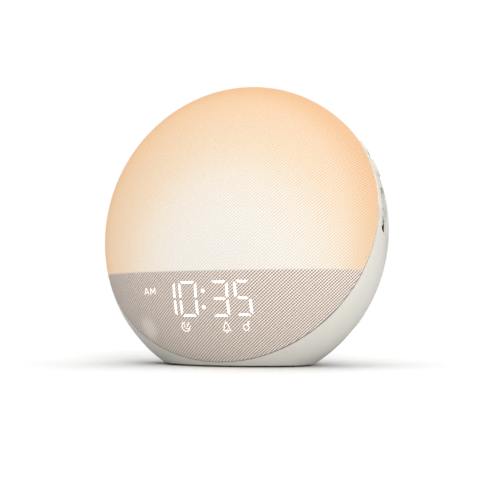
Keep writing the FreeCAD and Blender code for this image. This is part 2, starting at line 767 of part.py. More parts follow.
for k in range(4):
    turn = math.radians(45 + 90 * k)
    spot = (SPEAKER_BOLT * math.cos(turn), SPEAKER_BOLT * math.sin(turn))
    low = number(basket_back)
    basket_holes.append(rod("basket_hole%d" % k, HERE, "y", low - 2.0, low + 4.0, 1.3, spot))
    housing_holes.append(rod("collar_hole%d" % k, HERE, "y", low - 2.0, low + 5.6, 1.05, spot))
    head = rod("speaker_head%d" % k, HERE, "y", low - 1.4, low, 2.0, spot)
    shank = rod("speaker_shank%d" % k, HERE, "y", low - 0.5, low + 5.2, 1.0, spot)
    speaker_screws.append(joined("speaker_screw%d" % k, [head, shank]))
finish(cut("basket_drilled", basket, basket_holes), "speaker_basket")
finish(group("speaker_screw_group", speaker_screws), "speaker_screws")
finish(turned("cone", (
    (0.0, collar_front - 7.2), (4.8, collar_front - 7.4), (18.0, collar_front - 0.6),
    (20.8, collar_front - 0.6), (20.8, collar_front), (18.6, collar_front + 0.6),
    (5.2, collar_front - 6.6), (0.0, collar_front - 4.8),
), 20), "speaker_cone")
finish(rod("magnet", HERE, "y", collar_front - 19.0, basket_back - 9.4, 13.0), "speaker_magnet")
collar = cut("collar", rod("collar_rod", HERE, "y", collar_front, 60.0, speaker_radius + 0.6),
             [rod("collar_bore", HERE, "y", 40.0, 61.0, 22.6)])
housing_posts.append(collar)
housing_holes.append(rod("sound_hole", HERE, "y", 46.0, OUTSIDE, 22.6))
housing_holes.append(rod("grille_seat", HERE, "y", seat, as_size(OUTSIDE), grille_radius + 0.2))

# The power inlet, in a small round recess low on the back.
inlet_x, inlet_z = 26.0, -42.0
inlet_floor = surface_depth(inlet_x, inlet_z) - 4.5
jack_back = inlet_floor - 3.0
housing_posts.append(rod("inlet_boss", HERE, "y", jack_back, 60.0, 8.6, (inlet_x, inlet_z)))
housing_holes.append(rod("inlet_recess", HERE, "y", inlet_floor, OUTSIDE, 6.4, (inlet_x, inlet_z)))
housing_holes.append(rod("inlet_hole", HERE, "y", jack_back - 1.0, OUTSIDE, 4.2, (inlet_x, inlet_z)))
jack_case = box("jack_case", HERE, (inlet_x - 4.5, inlet_x + 4.5), (jack_back - 12.0, jack_back),
                (inlet_z - 5.5, inlet_z + 5.5))
jack_nose = rod("jack_nose", HERE, "y", jack_back - 1.0, inlet_floor, 4.0, (inlet_x, inlet_z))
jack_bore = rod("jack_bore", HERE, "y", jack_back - 8.0, inlet_floor + 1.0, 2.8, (inlet_x, inlet_z),
                smooth=True)
finish(cut("jack", joined("jack_body", [jack_case, jack_nose]), [jack_bore]), "power_jack")
finish(rod("jack_pin_rod", HERE, "y", jack_back - 8.0, inlet_floor - 1.0, 1.0, (inlet_x, inlet_z)),
       "jack_pin")

# The main board, on four long posts from the back.
main_front = 12.0
main_back = main_front + cell("board_thickness")
main_screws = []
main_holes = []
for k, (x, z) in enumerate(((-34.0, -28.0), (34.0, -28.0), (-34.0, 27.0), (34.0, 27.0))):
    low = number(main_back)
    housing_posts.append(rod("main_post%d" % k, HERE, "y", low, 60.0, 3.0, (x, z)))
    housing_holes.append(rod("main_post_hole%d" % k, HERE, "y", low - 1.0, low + 7.0, 1.05, (x, z)))
    main_holes.append(rod("main_hole%d" % k, HERE, "y", main_front - 1.0, low + 1.0, 1.3, (x, z)))
    head = rod("main_head%d" % k, HERE, "y", main_front - 1.4, main_front, 2.0, (x, z))
    shank = rod("main_shank%d" % k, HERE, "y", main_front - 0.5, main_front + 7.0, 1.0, (x, z))
    main_screws.append(joined("main_screw%d" % k, [head, shank]))
main_plate = box("main_plate", HERE, (-38.0, 38.0), (main_front, main_back), (-32.0, 31.0))
finish(cut("main_card", main_plate, main_holes), "main_board")
finish(group("main_screw_group", main_screws), "main_board_screws")
PARTS_BACK = (
    ("processor", -6.0, 6.0, -14.0, -2.0, 1.4),
    ("radio", -26.0, -10.0, 6.0, 24.0, 2.6),
    ("amplifier", 8.0, 14.0, 2.0, 10.0, 1.6),
    ("coil", 18.0, 28.0, -14.0, -4.0, 4.5),
    ("plug_left", -36.0, -28.0, -22.0, -17.0, 6.0),
    ("plug_right", 27.0, 35.0, -22.0, -17.0, 6.0),
    ("plug_low", -8.0, 8.0, -30.0, -25.0, 6.0),
)
board_parts = [box(name, HERE, (x0, x1), (main_back, main_back + high), (z0, z1))
               for name, x0, x1, z0, z1, high in PARTS_BACK]
for k, (x, z) in enumerate(((22.0, 12.0), (29.0, 17.0))):
    board_parts.append(rod("capacitor%d" % k, HERE, "y", main_back, main_back + 9.0, 3.1, (x, z)))
finish(group("board_part_group", board_parts), "board_components")

# Screws that hold the housing to the front frame, at the bottom of four wells in the back.
housing_screws = []
WELL_WEB = 3.0
WELL_RADIUS = 3.6
for k, (x, z) in enumerate(wells):
    web_front = rim_plane_depth(z, frame_back) + 0.9
    web_back = web_front + WELL_WEB
    housing_posts.append(rod("well_post%d" % k, HERE, "y", web_front, 60.0, 5.2, (x, z)))
    housing_holes.append(rod("well_bore%d" % k, HERE, "y", web_back, OUTSIDE, WELL_RADIUS, (x, z)))
    housing_holes.append(rod("well_hole%d" % k, HERE, "y", web_front - 1.0, web_back + 1.0,
                             number(cell("screw_radius")) + 0.2, (x, z)))
    head = rod("housing_head%d" % k, HERE, "y", web_back, web_back + 2.2, cell("screw_head_radius"), (x, z))
    shank = rod("housing_shank%d" % k, HERE, "y", web_back - 7.2, web_back + 0.5, cell("screw_radius"),
                (x, z))
    housing_screws.append(joined("housing_screw%d" % k, [head, shank]))
finish(group("housing_screw_group", housing_screws), "housing_screws")

# The battery bay in the base: a tray that opens downwards, three cells, their contacts, a door.
bay_x = cell("bay_length") * 0.5
bay_y = cell("bay_width") * 0.5
bay_middle = cell("bay_centre")
bay_top = floor_top + cell("bay_height")
TRAY_WALL = 1.4
tray_outer = box("tray_outer", HERE, (-bay_x - TRAY_WALL, bay_x + TRAY_WALL),
                 (bay_middle - bay_y - TRAY_WALL, bay_middle + bay_y + TRAY_WALL),
                 (floor_top, bay_top + TRAY_WALL))
tray_inner = box("tray_inner", HERE, (-bay_x, bay_x), (bay_middle - bay_y, bay_middle + bay_y),
                 (floor_top - 1.0, bay_top))
cell_radius = cell("cell_radius")
cell_middle = floor_top + cell_radius + 0.5
CONTACT = 0.5
NUB = 0.9
LEAF = 0.4
cells = []
contacts = []
springs = []
for k in (-1, 0, 1):
    turn = 1 if k else -1
    y = bay_middle + cell("cell_pitch") * k
    nub_end = turn * (number(bay_x) - CONTACT)
    base_end = nub_end - turn * number(cell("cell_length"))
    neck = nub_end - turn * NUB
    low, high = sorted((base_end, neck))
    jacket = rod("cell_jacket%d" % (k + 1), HERE, "x", low, high, cell_radius, (y, cell_middle))
    low, high = sorted((neck - turn * 0.5, nub_end))
    nub = rod("cell_nub%d" % (k + 1), HERE, "x", low, high, 1.9, (y, cell_middle))
    cells.append(joined("cell%d" % (k + 1), [jacket, nub]))
    for side in (-1, 1):
        wall = side * number(bay_x)
        low, high = sorted((wall, wall - side * CONTACT))
        contacts.append(box("contact%d_%d" % (k + 1, side + 1), HERE, (low, high),
                            (y - 4.2, y + 4.2), (cell_middle - 4.6, cell_middle + 4.6)))
    spring_wall = -turn * (number(bay_x) - CONTACT)
    leaf = new_body("spring%d" % (k + 1))
    leaf_sketch = sketch(leaf, "leaf%d" % (k + 1), "XZ_Plane", -y - 3.0)
    tip_x = base_end
    foot_x = spring_wall
    thick = turn * LEAF
    draw_polygon(leaf_sketch, (
        (foot_x, cell_middle - 4.4), (foot_x + thick, cell_middle - 4.4), (tip_x, cell_middle),
        (foot_x + thick, cell_middle + 4.4), (foot_x, cell_middle + 4.4), (tip_x - thick, cell_middle)))
    pad(leaf, leaf_sketch, 6.0)
    springs.append(leaf)
finish(group("cells", cells), "battery_cells", BASE)
finish(group("contact_group", contacts), "battery_contacts", BASE)
finish(group("spring_group", springs), "battery_springs", BASE)

# The door: a plate in a rebate of the base, with two round-edged tabs behind, about which it
# swings, and a latch in front.
ledge = 1.0
door_x = bay_x + ledge
door_front = bay_middle - bay_y - ledge
door_back = bay_middle + bay_y + ledge
door_bottom = floor_bottom + 0.2
door_top = door_bottom + cell("door_thickness")
gap = cell("fit_gap")
TABS = (-15.0, 15.0)
TAB_RADIUS = 0.5
tab_y = door_back + TAB_RADIUS
tab_z = door_bottom - 0.2 + TAB_RADIUS
door_plate = box("door_plate", HERE, (-door_x, door_x), (door_front, door_back), (door_bottom, door_top))
door_parts = [door_plate]
notches = []
for k, x in enumerate(TABS):
    door_parts.append(rod("door_tab%d" % k, HERE, "x", x - 3.0, x + 3.0, TAB_RADIUS, (tab_y, tab_z),
                          smooth=True))
    door_parts.append(box("door_web%d" % k, HERE, (x - 3.0, x + 3.0), (door_back - 1.0, tab_y),
                          (door_bottom, tab_z + TAB_RADIUS)))
    notches.append(box("tab_notch%d" % k, HERE, (x - 3.4, x + 3.4), (door_back - 1.0, door_back + 2.0),
                       (floor_bottom - 1.0, floor_top + 1.0)))
door_parts.append(box("door_latch", HERE, (-4.0, 4.0), (door_front + 0.6, door_front + 1.8),
                      (door_top - 0.2, door_top + 2.4)))
door_parts.append(box("latch_hook", HERE, (-4.0, 4.0), (door_front + 0.1, door_front + 1.0),
                      (door_top + 1.5, door_top + 2.4)))
latch_notch = box("latch_notch", HERE, (-4.4, 4.4), (door_front - 0.4, door_front + 3.2),
                  (floor_bottom - 1.0, door_top + 3.0))
finger_cut = rod("finger_cut", HERE, "x", -6.0, 6.0, 1.6, (number(door_front), number(door_bottom)))
finish(cut("door", joined("door_body", door_parts), [finger_cut]), "battery_door", BASE)
finish(cut("tray", tray_outer, [tray_inner, latch_notch]), "battery_tray", BASE)

# The rubber feet, in shallow pockets of the base.
FEET = ((-31.5, -12.0), (31.5, -12.0), (-31.5, 9.0), (31.5, 9.0))
FOOT_RADIUS = 3.6
feet = [rod("foot%d" % k, HERE, "z", 0.0, floor_bottom + 0.8, FOOT_RADIUS, (x, y))
        for k, (x, y) in enumerate(FEET)]
finish(group("feet", feet), "rubber_feet", BASE)

# The housing: one moulded bowl with its floor, posts, wells and openings.
hollow = cut("hollow", in_housing, [below("under_floor", floor_top)])
bowl = cut("bowl", skin, [ahead_of("housing_side", seam), below("under_base", floor_bottom), hollow])
base_holes = [
    box("bay_hole", HERE, (-bay_x, bay_x), (bay_middle - bay_y, bay_middle + bay_y), (-5.0, floor_top + 1.0)),
    box("door_rebate", HERE, (-door_x - gap, door_x + gap), (door_front - gap, tab_y),
        (-5.0, door_top + 0.1)),
]
base_holes += notches
base_holes.append(latch_notch)
for k, (x, y) in enumerate(FEET):
    base_holes.append(rod("foot_pocket%d" % k, HERE, "z", -5.0, floor_bottom + 0.8, FOOT_RADIUS + 0.1,
                          (x, y)))
base_tools = group("base_tools", base_holes)
base_tools.Placement = FLAT.multiply(BASE)
posts = common("posts", group("post_group", housing_posts), under_cloth)
trimmed_posts = cut("trimmed_posts", posts, [ahead_of("post_side", frame_back + 0.3)])
shell = joined("shell", [bowl, trimmed_posts])
finish(cut("housing", shell, housing_holes + [base_tools]), "rear_housing")


# Every object is looked at before anything is written, because a failed one raises nothing.
doc.recompute()
faults = []
for obj in doc.Objects:
    if "Invalid" in obj.State or "Error" in obj.State:
        faults.append("%s is %s" % (obj.Name, obj.State))
for piece in PIECES:
    if piece.Shape.isNull() or not piece.Shape.isValid():
        faults.append("%s has no valid shape" % piece.Label)
    elif not piece.Shape.Solids:
        faults.append("%s holds no solid" % piece.Label)
if faults:
    raise RuntimeError("; ".join(faults))
os.makedirs("parts", exist_ok=True)
for piece in PIECES:
    piece.Shape.exportStep("parts/%s.step" % piece.Label)
    print("%-20s %d solid(s), %.1f mm3" % (piece.Label, len(piece.Shape.Solids), piece.Shape.Volume))
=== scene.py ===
import bmesh
import bpy
import json
import math
from mathutils import Matrix, Vector


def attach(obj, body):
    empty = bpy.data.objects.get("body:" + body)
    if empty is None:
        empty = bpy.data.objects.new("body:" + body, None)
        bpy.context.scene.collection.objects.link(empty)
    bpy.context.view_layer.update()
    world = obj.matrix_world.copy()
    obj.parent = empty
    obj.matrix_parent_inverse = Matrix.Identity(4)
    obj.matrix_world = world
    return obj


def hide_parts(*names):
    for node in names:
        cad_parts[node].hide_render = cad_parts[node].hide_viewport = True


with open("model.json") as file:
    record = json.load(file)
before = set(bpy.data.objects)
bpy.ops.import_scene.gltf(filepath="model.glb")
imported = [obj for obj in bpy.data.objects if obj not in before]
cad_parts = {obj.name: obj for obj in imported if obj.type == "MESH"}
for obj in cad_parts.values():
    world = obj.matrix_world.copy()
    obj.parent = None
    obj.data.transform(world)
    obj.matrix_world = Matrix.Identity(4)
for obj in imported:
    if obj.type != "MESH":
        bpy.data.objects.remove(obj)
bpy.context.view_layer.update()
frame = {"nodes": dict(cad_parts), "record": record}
nodes = frame["nodes"]

# The view. A camera at the photograph's angle, low over the table and round to the clock's right,
# a little below the middle of the clock and looking slightly up at it.
eye = Vector((0.21497, -0.48338, 0.02901))
azimuth = math.radians(23.623)
elevation = math.radians(-3.618)
roll = math.radians(-0.182)
behind = Vector((math.sin(azimuth) * math.cos(elevation), -math.cos(azimuth) * math.cos(elevation),
                 math.sin(elevation)))
across = Vector((math.cos(azimuth), math.sin(azimuth), 0.0))
upwards = behind.cross(across)
camera_data = bpy.data.cameras.new("photograph_view")
camera_data.sensor_width = 36.0
camera_data.lens = 69.21
camera_data.clip_start = 0.01
camera = bpy.data.objects.new("photograph_view", camera_data)
turned_across = math.cos(roll) * across + math.sin(roll) * upwards
turned_up = math.cos(roll) * upwards - math.sin(roll) * across
turned = Matrix((turned_across, turned_up, behind)).transposed().to_4x4()
camera.matrix_world = Matrix.Translation(eye) @ turned
bpy.context.scene.collection.objects.link(camera)
bpy.context.scene.camera = camera

# Moulded plastic. Off-white ABS with the fine grain that a spark-eroded mould leaves. Its tone and
# its gloss differ by a shade from one part of a moulding to the next.


def add_socket(group, name, kind, way, value=None):
    socket = group.interface.new_socket(name=name, in_out=way, socket_type=kind)
    if value is not None:
        socket.default_value = value


def set_inputs(tree, node, inputs):
    """Gives each input of a node a value, or the output that feeds it."""
    for name, value in inputs.items():
        if isinstance(value, bpy.types.NodeSocket):
            tree.links.new(value, node.inputs[name])
        else:
            node.inputs[name].default_value = value


def add_node(tree, kind, inputs, **settings):
    node = tree.nodes.new("ShaderNode" + kind)
    for name, value in settings.items():
        setattr(node, name, value)
    set_inputs(tree, node, inputs)
    return node


def object_place(tree):
    return add_node(tree, "TexCoord", {}).outputs["Object"]


def mould_grain():
    """Height, tone and roughness of a grained moulding, from its Object coordinates."""
    group = bpy.data.node_groups.new("mould_grain", "ShaderNodeTree")
    add_socket(group, "Grain Size", "NodeSocketFloat", "INPUT", 2600.0)
    add_socket(group, "Base Roughness", "NodeSocketFloat", "INPUT", 0.5)
    add_socket(group, "Colour", "NodeSocketColor", "INPUT", (0.8, 0.8, 0.8, 1.0))
    add_socket(group, "Height", "NodeSocketFloat", "OUTPUT")
    add_socket(group, "Roughness", "NodeSocketFloat", "OUTPUT")
    add_socket(group, "Tone", "NodeSocketColor", "OUTPUT")
    given, out = group.nodes.new("NodeGroupInput"), group.nodes.new("NodeGroupOutput")
    place = object_place(group)
    pits = add_node(group, "TexVoronoi", {"Vector": place, "Scale": given.outputs["Grain Size"]})
    fine = add_node(group, "TexNoise", {"Vector": place, "Scale": 900.0, "Detail": 3.0})
    height = add_node(group, "Math", {0: pits.outputs["Distance"], 1: 0.5, 2: fine.outputs["Fac"]},
                      operation="MULTIPLY_ADD")
    cloud = add_node(group, "TexNoise", {"Vector": place, "Scale": 26.0, "Detail": 4.0}).outputs["Fac"]
    uneven = add_node(group, "MapRange", {"Value": cloud, "To Min": -0.06, "To Max": 0.06})
    rough = add_node(group, "Math", {0: given.outputs["Base Roughness"], 1: uneven.outputs["Result"]})
    shade = add_node(group, "MapRange", {"Value": cloud, "To Min": 0.96, "To Max": 1.03})
    tone = add_node(group, "VectorMath", {0: given.outputs["Colour"], "Scale": shade.outputs["Result"]},
                    operation="SCALE")
    set_inputs(group, out, {"Height": height.outputs["Value"], "Roughness": rough.outputs["Value"],
                            "Tone": tone.outputs["Vector"]})
    return group


grain = mould_grain()


def start_material(name):
    material = bpy.data.materials.new(name)
    material.use_nodes = True
    return material, material.node_tree, material.node_tree.nodes["Principled BSDF"]


def moulded(name, colour, roughness=0.5, bump=0.00002, grain_size=2600.0, metallic=0.0):
    material, tree, surface = start_material(name)
    grained = add_node(tree, "Group", {"Grain Size": grain_size, "Base Roughness": roughness,
                                       "Colour": (*colour, 1.0)}, node_tree=grain)
    relief = add_node(tree, "Bump", {"Strength": 0.5, "Distance": bump, "Height": grained.outputs["Height"]})
    set_inputs(tree, surface, {"Metallic": metallic, "Base Color": grained.outputs["Tone"],
                               "Roughness": grained.outputs["Roughness"], "Normal": relief.outputs["Normal"]})
    return material


housing_plastic = moulded("housing_plastic", (0.68, 0.66, 0.605), 0.46, 0.00001)

# The housing. The deeper half of a pebble, injection moulded as one bowl with its screw wells, inlet
# boss and speaker collar. It is cut flat to stand on, and its mouth leans back behind the cloth's rim.
pebble_radius = 0.082
front_depth = 0.0441
rear_depth = 0.0544
body_tilt = math.radians(5.23)
rim_tilt = math.radians(10.3)
rim_advance = 0.00956
clock = Matrix.Translation((0.0, -0.0048, 0.0709)) @ Matrix.Rotation(-body_tilt, 4, "X")
rim_lean = Matrix.Rotation(-rim_tilt, 4, "X")
in_clock_rim = Matrix.Translation((0.0, -rim_advance, 0.0)) @ rim_lean
rim = clock @ in_clock_rim
seam = 0.0003
wall = 0.0024
base_level = 0.0008
base_bend = 0.0006
quarter = math.pi / 2


def onto_pebble(start, direction, inset=0.0):
    """Where a ray from a point inside the pebble meets its skin, in the clock's own axes."""
    flat = pebble_radius - inset
    for depth, side in ((front_depth - inset, -1), (rear_depth - inset, 1)):
        s = Vector((start.x / flat, start.y / depth, start.z / flat))
        d = Vector((direction.x / flat, direction.y / depth, direction.z / flat))
        a, b, c = d.dot(d), s.dot(d), s.dot(s) - 1.0
        point = start + direction * ((math.sqrt(b * b - a * c) - b) / a)
        if point.y * side >= 0.0:
            break
    return point


def spun(profile, sides, merged):
    """A profile in X and Y turned once about the Y axis, its points merged where they meet."""
    shape = bmesh.new()
    chain = [shape.verts.new((x, y, 0.0)) for x, y in profile]
    links = [shape.edges.new(pair) for pair in zip(chain, chain[1:])]
    bmesh.ops.spin(shape, geom=chain + links, cent=(0, 0, 0), axis=(0, 1, 0), angle=math.tau, steps=sides,
                   use_merge=True)
    bmesh.ops.remove_doubles(shape, verts=shape.verts, dist=merged)
    return shape


def pebble_skin(setback, last_turn, rings, inset=0.0, sides=160):
    """Half of the pebble's skin, as a dome spun on a plane along the rim and laid on the pebble."""
    turns = [last_turn * k / rings for k in range(rings + 1)]
    shape = spun([(math.cos(t), math.sin(t)) for t in turns], sides, 1e-5)
    start = in_clock_rim @ Vector((0.0, setback, 0.0))
    for vertex in shape.verts:
        vertex.co = onto_pebble(start, rim_lean @ vertex.co, inset)
    bmesh.ops.recalc_face_normals(shape, faces=shape.faces)
    shape.transform(clock)
    return shape


def as_object(name, shape, material):
    data = bpy.data.meshes.new(name)
    shape.to_mesh(data)
    shape.free()
    data.materials.append(material)
    piece = bpy.data.objects.new(name, data)
    bpy.context.scene.collection.objects.link(piece)
    return piece


def settle(piece):
    """Makes a piece's modifiers final."""
    seen = bpy.context.evaluated_depsgraph_get()
    piece.data = bpy.data.meshes.new_from_object(piece.evaluated_get(seen))
    piece.modifiers.clear()


def carve(piece, tool, how="DIFFERENCE"):
    """Cuts, joins or trims a piece with a second shape, which is then thrown away."""
    step = piece.modifiers.new("carve", "BOOLEAN")
    step.operation = how
    step.object = tool
    settle(piece)
    bpy.data.objects.remove(tool)


def smooth(piece, sharp_over=32.0):
    piece.data.shade_smooth()
    piece.data.set_sharp_from_angle(angle=math.radians(sharp_over))


def post(shape, place, along, start, end, radius, sides=48):
    """Adds a round post along Y or Z of a place, between two distances."""
    spin = Matrix.Rotation(-quarter, 4, "X") if along == "Y" else Matrix.Identity(4)
    middle = Matrix.Translation((0.0, 0.0, (start + end) / 2))
    bmesh.ops.create_cone(shape, cap_ends=True, segments=sides, radius1=radius, radius2=radius,
                          depth=end - start, matrix=place @ spin @ middle)


def block(shape, place, low, high):
    """Adds a box between two corners of a place."""
    size = [b - a for a, b in zip(low, high)]
    middle = [(a + b) / 2 for a, b in zip(low, high)]
    bmesh.ops.create_cube(shape, size=1.0,
                          matrix=place @ Matrix.Translation(middle) @ Matrix.Diagonal((*size, 1.0)))


def round_edges(shape, edges, radius, segments=3):
    bmesh.ops.bevel(shape, geom=edges, offset=radius, offset_type="OFFSET", segments=segments, profile=0.5,
                    affect="EDGES", material=-1)


def soft_block(half_x, half_y, low, high, corner, top_edge):
    """A block with rounded upright corners and a rounded upper edge."""
    shape = bmesh.new()
    block(shape, Matrix.Identity(4), (-half_x, -half_y, low), (half_x, half_y, high))
    upright = [e for e in shape.edges if abs(e.verts[0].co.z - e.verts[1].co.z) > 1e-6]
    round_edges(shape, upright, corner, 8)
    if top_edge:
        upper = [e for e in shape.edges if min(v.co.z for v in e.verts) > high - 1e-6]
        round_edges(shape, upper, top_edge, 5)
    return shape


def flatten_base(shape):
    """Lays all that is below the base's level onto it, with a soft bend at its edge."""
    for step in (-1.0, -0.5, 0.0, 0.5, 1.0):
        bmesh.ops.bisect_plane(shape, geom=shape.verts[:] + shape.edges[:] + shape.faces[:], dist=0.00001,
                               plane_co=(0.0, 0.0, base_level + step * base_bend), plane_no=(0.0, 0.0, 1.0))
    for vertex in shape.verts:
        over = vertex.co.z - base_level
        if over < -base_bend:
            vertex.co.z = base_level
        elif over < base_bend:
            vertex.co.z = base_level + (over + base_bend) ** 2 / (4 * base_bend)


shell = pebble_skin(seam, quarter, 56)
flatten_base(shell)
housing = as_object("housing_shell", shell, housing_plastic)
skin = housing.modifiers.new("wall", "SOLIDIFY")
skin.thickness = wall
skin.offset = -1.0
settle(housing)
shell = bmesh.new()
shell.from_mesh(housing.data)
mouth = rim @ Vector((0.0, seam, 0.0))
mouth_way = rim.to_3x3() @ Vector((0.0, 1.0, 0.0))
lip_edge = []
for edge in shell.edges:
    if all(abs((v.co - mouth).dot(mouth_way)) < 1e-5 for v in edge.verts):
        if all((clock.inverted() @ v.co).xz.length > pebble_radius - wall / 2 for v in edge.verts):
            lip_edge.append(edge)
round_edges(shell, lip_edge, 0.00045)
shell.to_mesh(housing.data)
shell.free()

well_places = [(side * 0.047, height) for side in (-1, 1) for height in (0.036, -0.038)]
well_radius = 0.0036
well_boss = 0.0052
well_web = 0.003
well_gap = 0.0009
past_back = 0.06
frame_back = seam + 0.00395
inlet_x, inlet_z = 0.026, -0.042
inlet_boss = 0.0086
inlet_recess = 0.0064
inlet_window = 0.0042
grille_radius = 0.0241
grille_face = 0.0522
grille_seat = grille_face - 0.0016
speaker_collar = grille_seat - 0.0052
collar_radius = 0.0276
collar_bore = 0.0226


def at_clock(x, z):
    return clock @ Matrix.Translation((x, 0.0, z))


def rear_skin(x, z):
    """How far back the pebble's skin is behind a point."""
    return rear_depth * math.sqrt(1.0 - (x * x + z * z) / pebble_radius ** 2)


def well_front(z):
    """Where the web at a well's inner end starts, just behind the front frame."""
    return (frame_back + z * math.sin(rim_tilt)) / math.cos(rim_tilt) - rim_advance + well_gap


inlet_floor = rear_skin(inlet_x, inlet_z) - 0.0045
inlet_web = 0.003
posts = bmesh.new()
for x, z in well_places:
    post(posts, at_clock(x, z), "Y", well_front(z), past_back, well_boss)
post(posts, at_clock(inlet_x, inlet_z), "Y", inlet_floor - inlet_web, past_back, inlet_boss)
post(posts, at_clock(0.0, 0.0), "Y", speaker_collar, past_back, collar_radius, 96)
posts = as_object("posts", posts, housing_plastic)
within = pebble_skin(seam, quarter, 24, 0.0006, 96)
mouth_edges = [e for e in within.edges if e.is_boundary]
bmesh.ops.contextual_create(within, geom=mouth_edges)
bmesh.ops.recalc_face_normals(within, faces=within.faces)
carve(posts, as_object("within", within, housing_plastic), "INTERSECT")
carve(housing, posts, "UNION")

holes = bmesh.new()
for x, z in well_places:
    post(holes, at_clock(x, z), "Y", well_front(z) + well_web, past_back, well_radius)
post(holes, at_clock(inlet_x, inlet_z), "Y", inlet_floor, past_back, inlet_recess)
post(holes, at_clock(0.0, 0.0), "Y", grille_seat, 0.0605, grille_radius + 0.0002, 96)
carve(housing, as_object("holes", holes, housing_plastic))
holes = bmesh.new()
post(holes, at_clock(inlet_x, inlet_z), "Y", inlet_floor - 0.005, past_back, inlet_window)
post(holes, at_clock(0.0, 0.0), "Y", 0.04, 0.0605, collar_bore, 96)
carve(housing, as_object("holes", holes, housing_plastic))

strip_setback = 0.0093
key_half = 0.0046
key_pitch = 0.0133
key_depth = 0.007
bar_depth = 0.009
key_corner = 0.0024
fit_gap = 0.0003


def flank_place(side):
    """Out of it, along Z, is the middle of the keys of one flank."""
    turn = Matrix.Rotation(side * math.radians(90.0 - 30.4), 4, "Y")
    return in_clock_rim @ Matrix.Translation((0.0, strip_setback, 0.0)) @ turn


def reach(place):
    """How far the skin is from a place in the clock's axes, along its Z axis."""
    start = place.to_translation()
    return (onto_pebble(start, place.to_3x3() @ Vector((0.0, 0.0, 1.0))) - start).length


bar_lean = Matrix.Rotation(math.radians(-16.0), 4, "X")
top_place = in_clock_rim @ Matrix.Translation((0.0, 0.013, 0.0)) @ bar_lean
bar_proud = 0.0004
bar_top = reach(top_place) + bar_proud
bar_half_length = 0.017
bar_half_width = 0.005
bar_hole_depth = 0.0076
key_proud = 0.00095
key_top = reach(flank_place(1)) + key_proud
key_hole_depth = 0.0057
past_skin = 0.006
hole_corner = key_corner + fit_gap
for side in (-1, 1):
    for level in (-1, 1):
        hole = soft_block(key_half + fit_gap, key_half + fit_gap, key_top - key_hole_depth,
                          key_top + past_skin, hole_corner, 0.0)
        hole.transform(clock @ flank_place(side) @ Matrix.Translation((level * key_pitch / 2, 0.0, 0.0)))
        carve(housing, as_object("hole", hole, housing_plastic))
hole = soft_block(bar_half_length + fit_gap, bar_half_width + fit_gap, bar_top - bar_hole_depth,
                  bar_top + past_skin, hole_corner, 0.0)
hole.transform(clock @ top_place)
carve(housing, as_object("hole", hole, housing_plastic))

dial_radius = 0.0135
dial_level = 0.011
dial_sink = 0.0008
dial_out = reach(in_clock_rim @ Matrix.Translation((0.0, strip_setback, dial_level))
                 @ Matrix.Rotation(quarter, 4, "Y")) - dial_sink - dial_radius
dial_place = rim @ Matrix.Translation((dial_out, strip_setback, dial_level))
slot_half_height = 0.0128
slot_half_width = 0.0059
slot_inner_end = 0.008
slot_outer_end = 0.038
slot_corner = 0.004
hole = soft_block(slot_half_height, slot_half_width, slot_inner_end, slot_outer_end, slot_corner, 0.0)
hole.transform(dial_place @ Matrix.Rotation(quarter, 4, "Y"))
carve(housing, as_object("hole", hole, housing_plastic))

bay_half_length = 0.0244
bay_half_width = 0.0165
bay_middle = -0.0063
floor_top = base_level + wall
ledge = 0.001
door_bottom = base_level + 0.0002
door_top = door_bottom + 0.0012
table = Matrix.Identity(4)
foot_places = [(x, y) for x in (-0.0315, 0.0315) for y in (-0.0168, 0.0042)]
foot_radius = 0.0036
foot_top = base_level + 0.0008
under_table = -0.005
holes = bmesh.new()
for x, y in foot_places:
    spot = table @ Matrix.Translation((x, y, 0.0))
    post(holes, spot, "Z", under_table, foot_top, foot_radius + 0.0001)
rebate = ledge + fit_gap
door_front = bay_middle - bay_half_width - ledge
door_back = bay_middle + bay_half_width + ledge
block(holes, table, (-bay_half_length - rebate, door_front - fit_gap, under_table),
      (bay_half_length + rebate, door_back + 0.0005, door_top + 0.0001))
carve(housing, as_object("holes", holes, housing_plastic))
holes = bmesh.new()
hinge_half = 0.0034
latch_half = 0.0044
for x in (-0.015, 0.015):
    block(holes, table, (x - hinge_half, door_back - 0.001, under_table),
          (x + hinge_half, door_back + 0.002, floor_top + 0.0012))
block(holes, table, (-latch_half, door_front - 0.0004, under_table),
      (latch_half, door_front + 0.0032, floor_top + 0.0014))
carve(housing, as_object("holes", holes, housing_plastic))
holes = bmesh.new()
block(holes, table, (-bay_half_length, bay_middle - bay_half_width, under_table),
      (bay_half_length, bay_middle + bay_half_width, floor_top + 0.001))
carve(housing, as_object("holes", holes, housing_plastic))
smooth(housing)
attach(housing, "clock")
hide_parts("rear_housing")

# The cloth. One piece of woven polyester, warm grey, stretched over the dome and turned in at the
# rim. The lamp behind makes its upper part glow, and below the shelf it is plain grey.
horizon = 0.0494
cloth_thickness = 0.0008


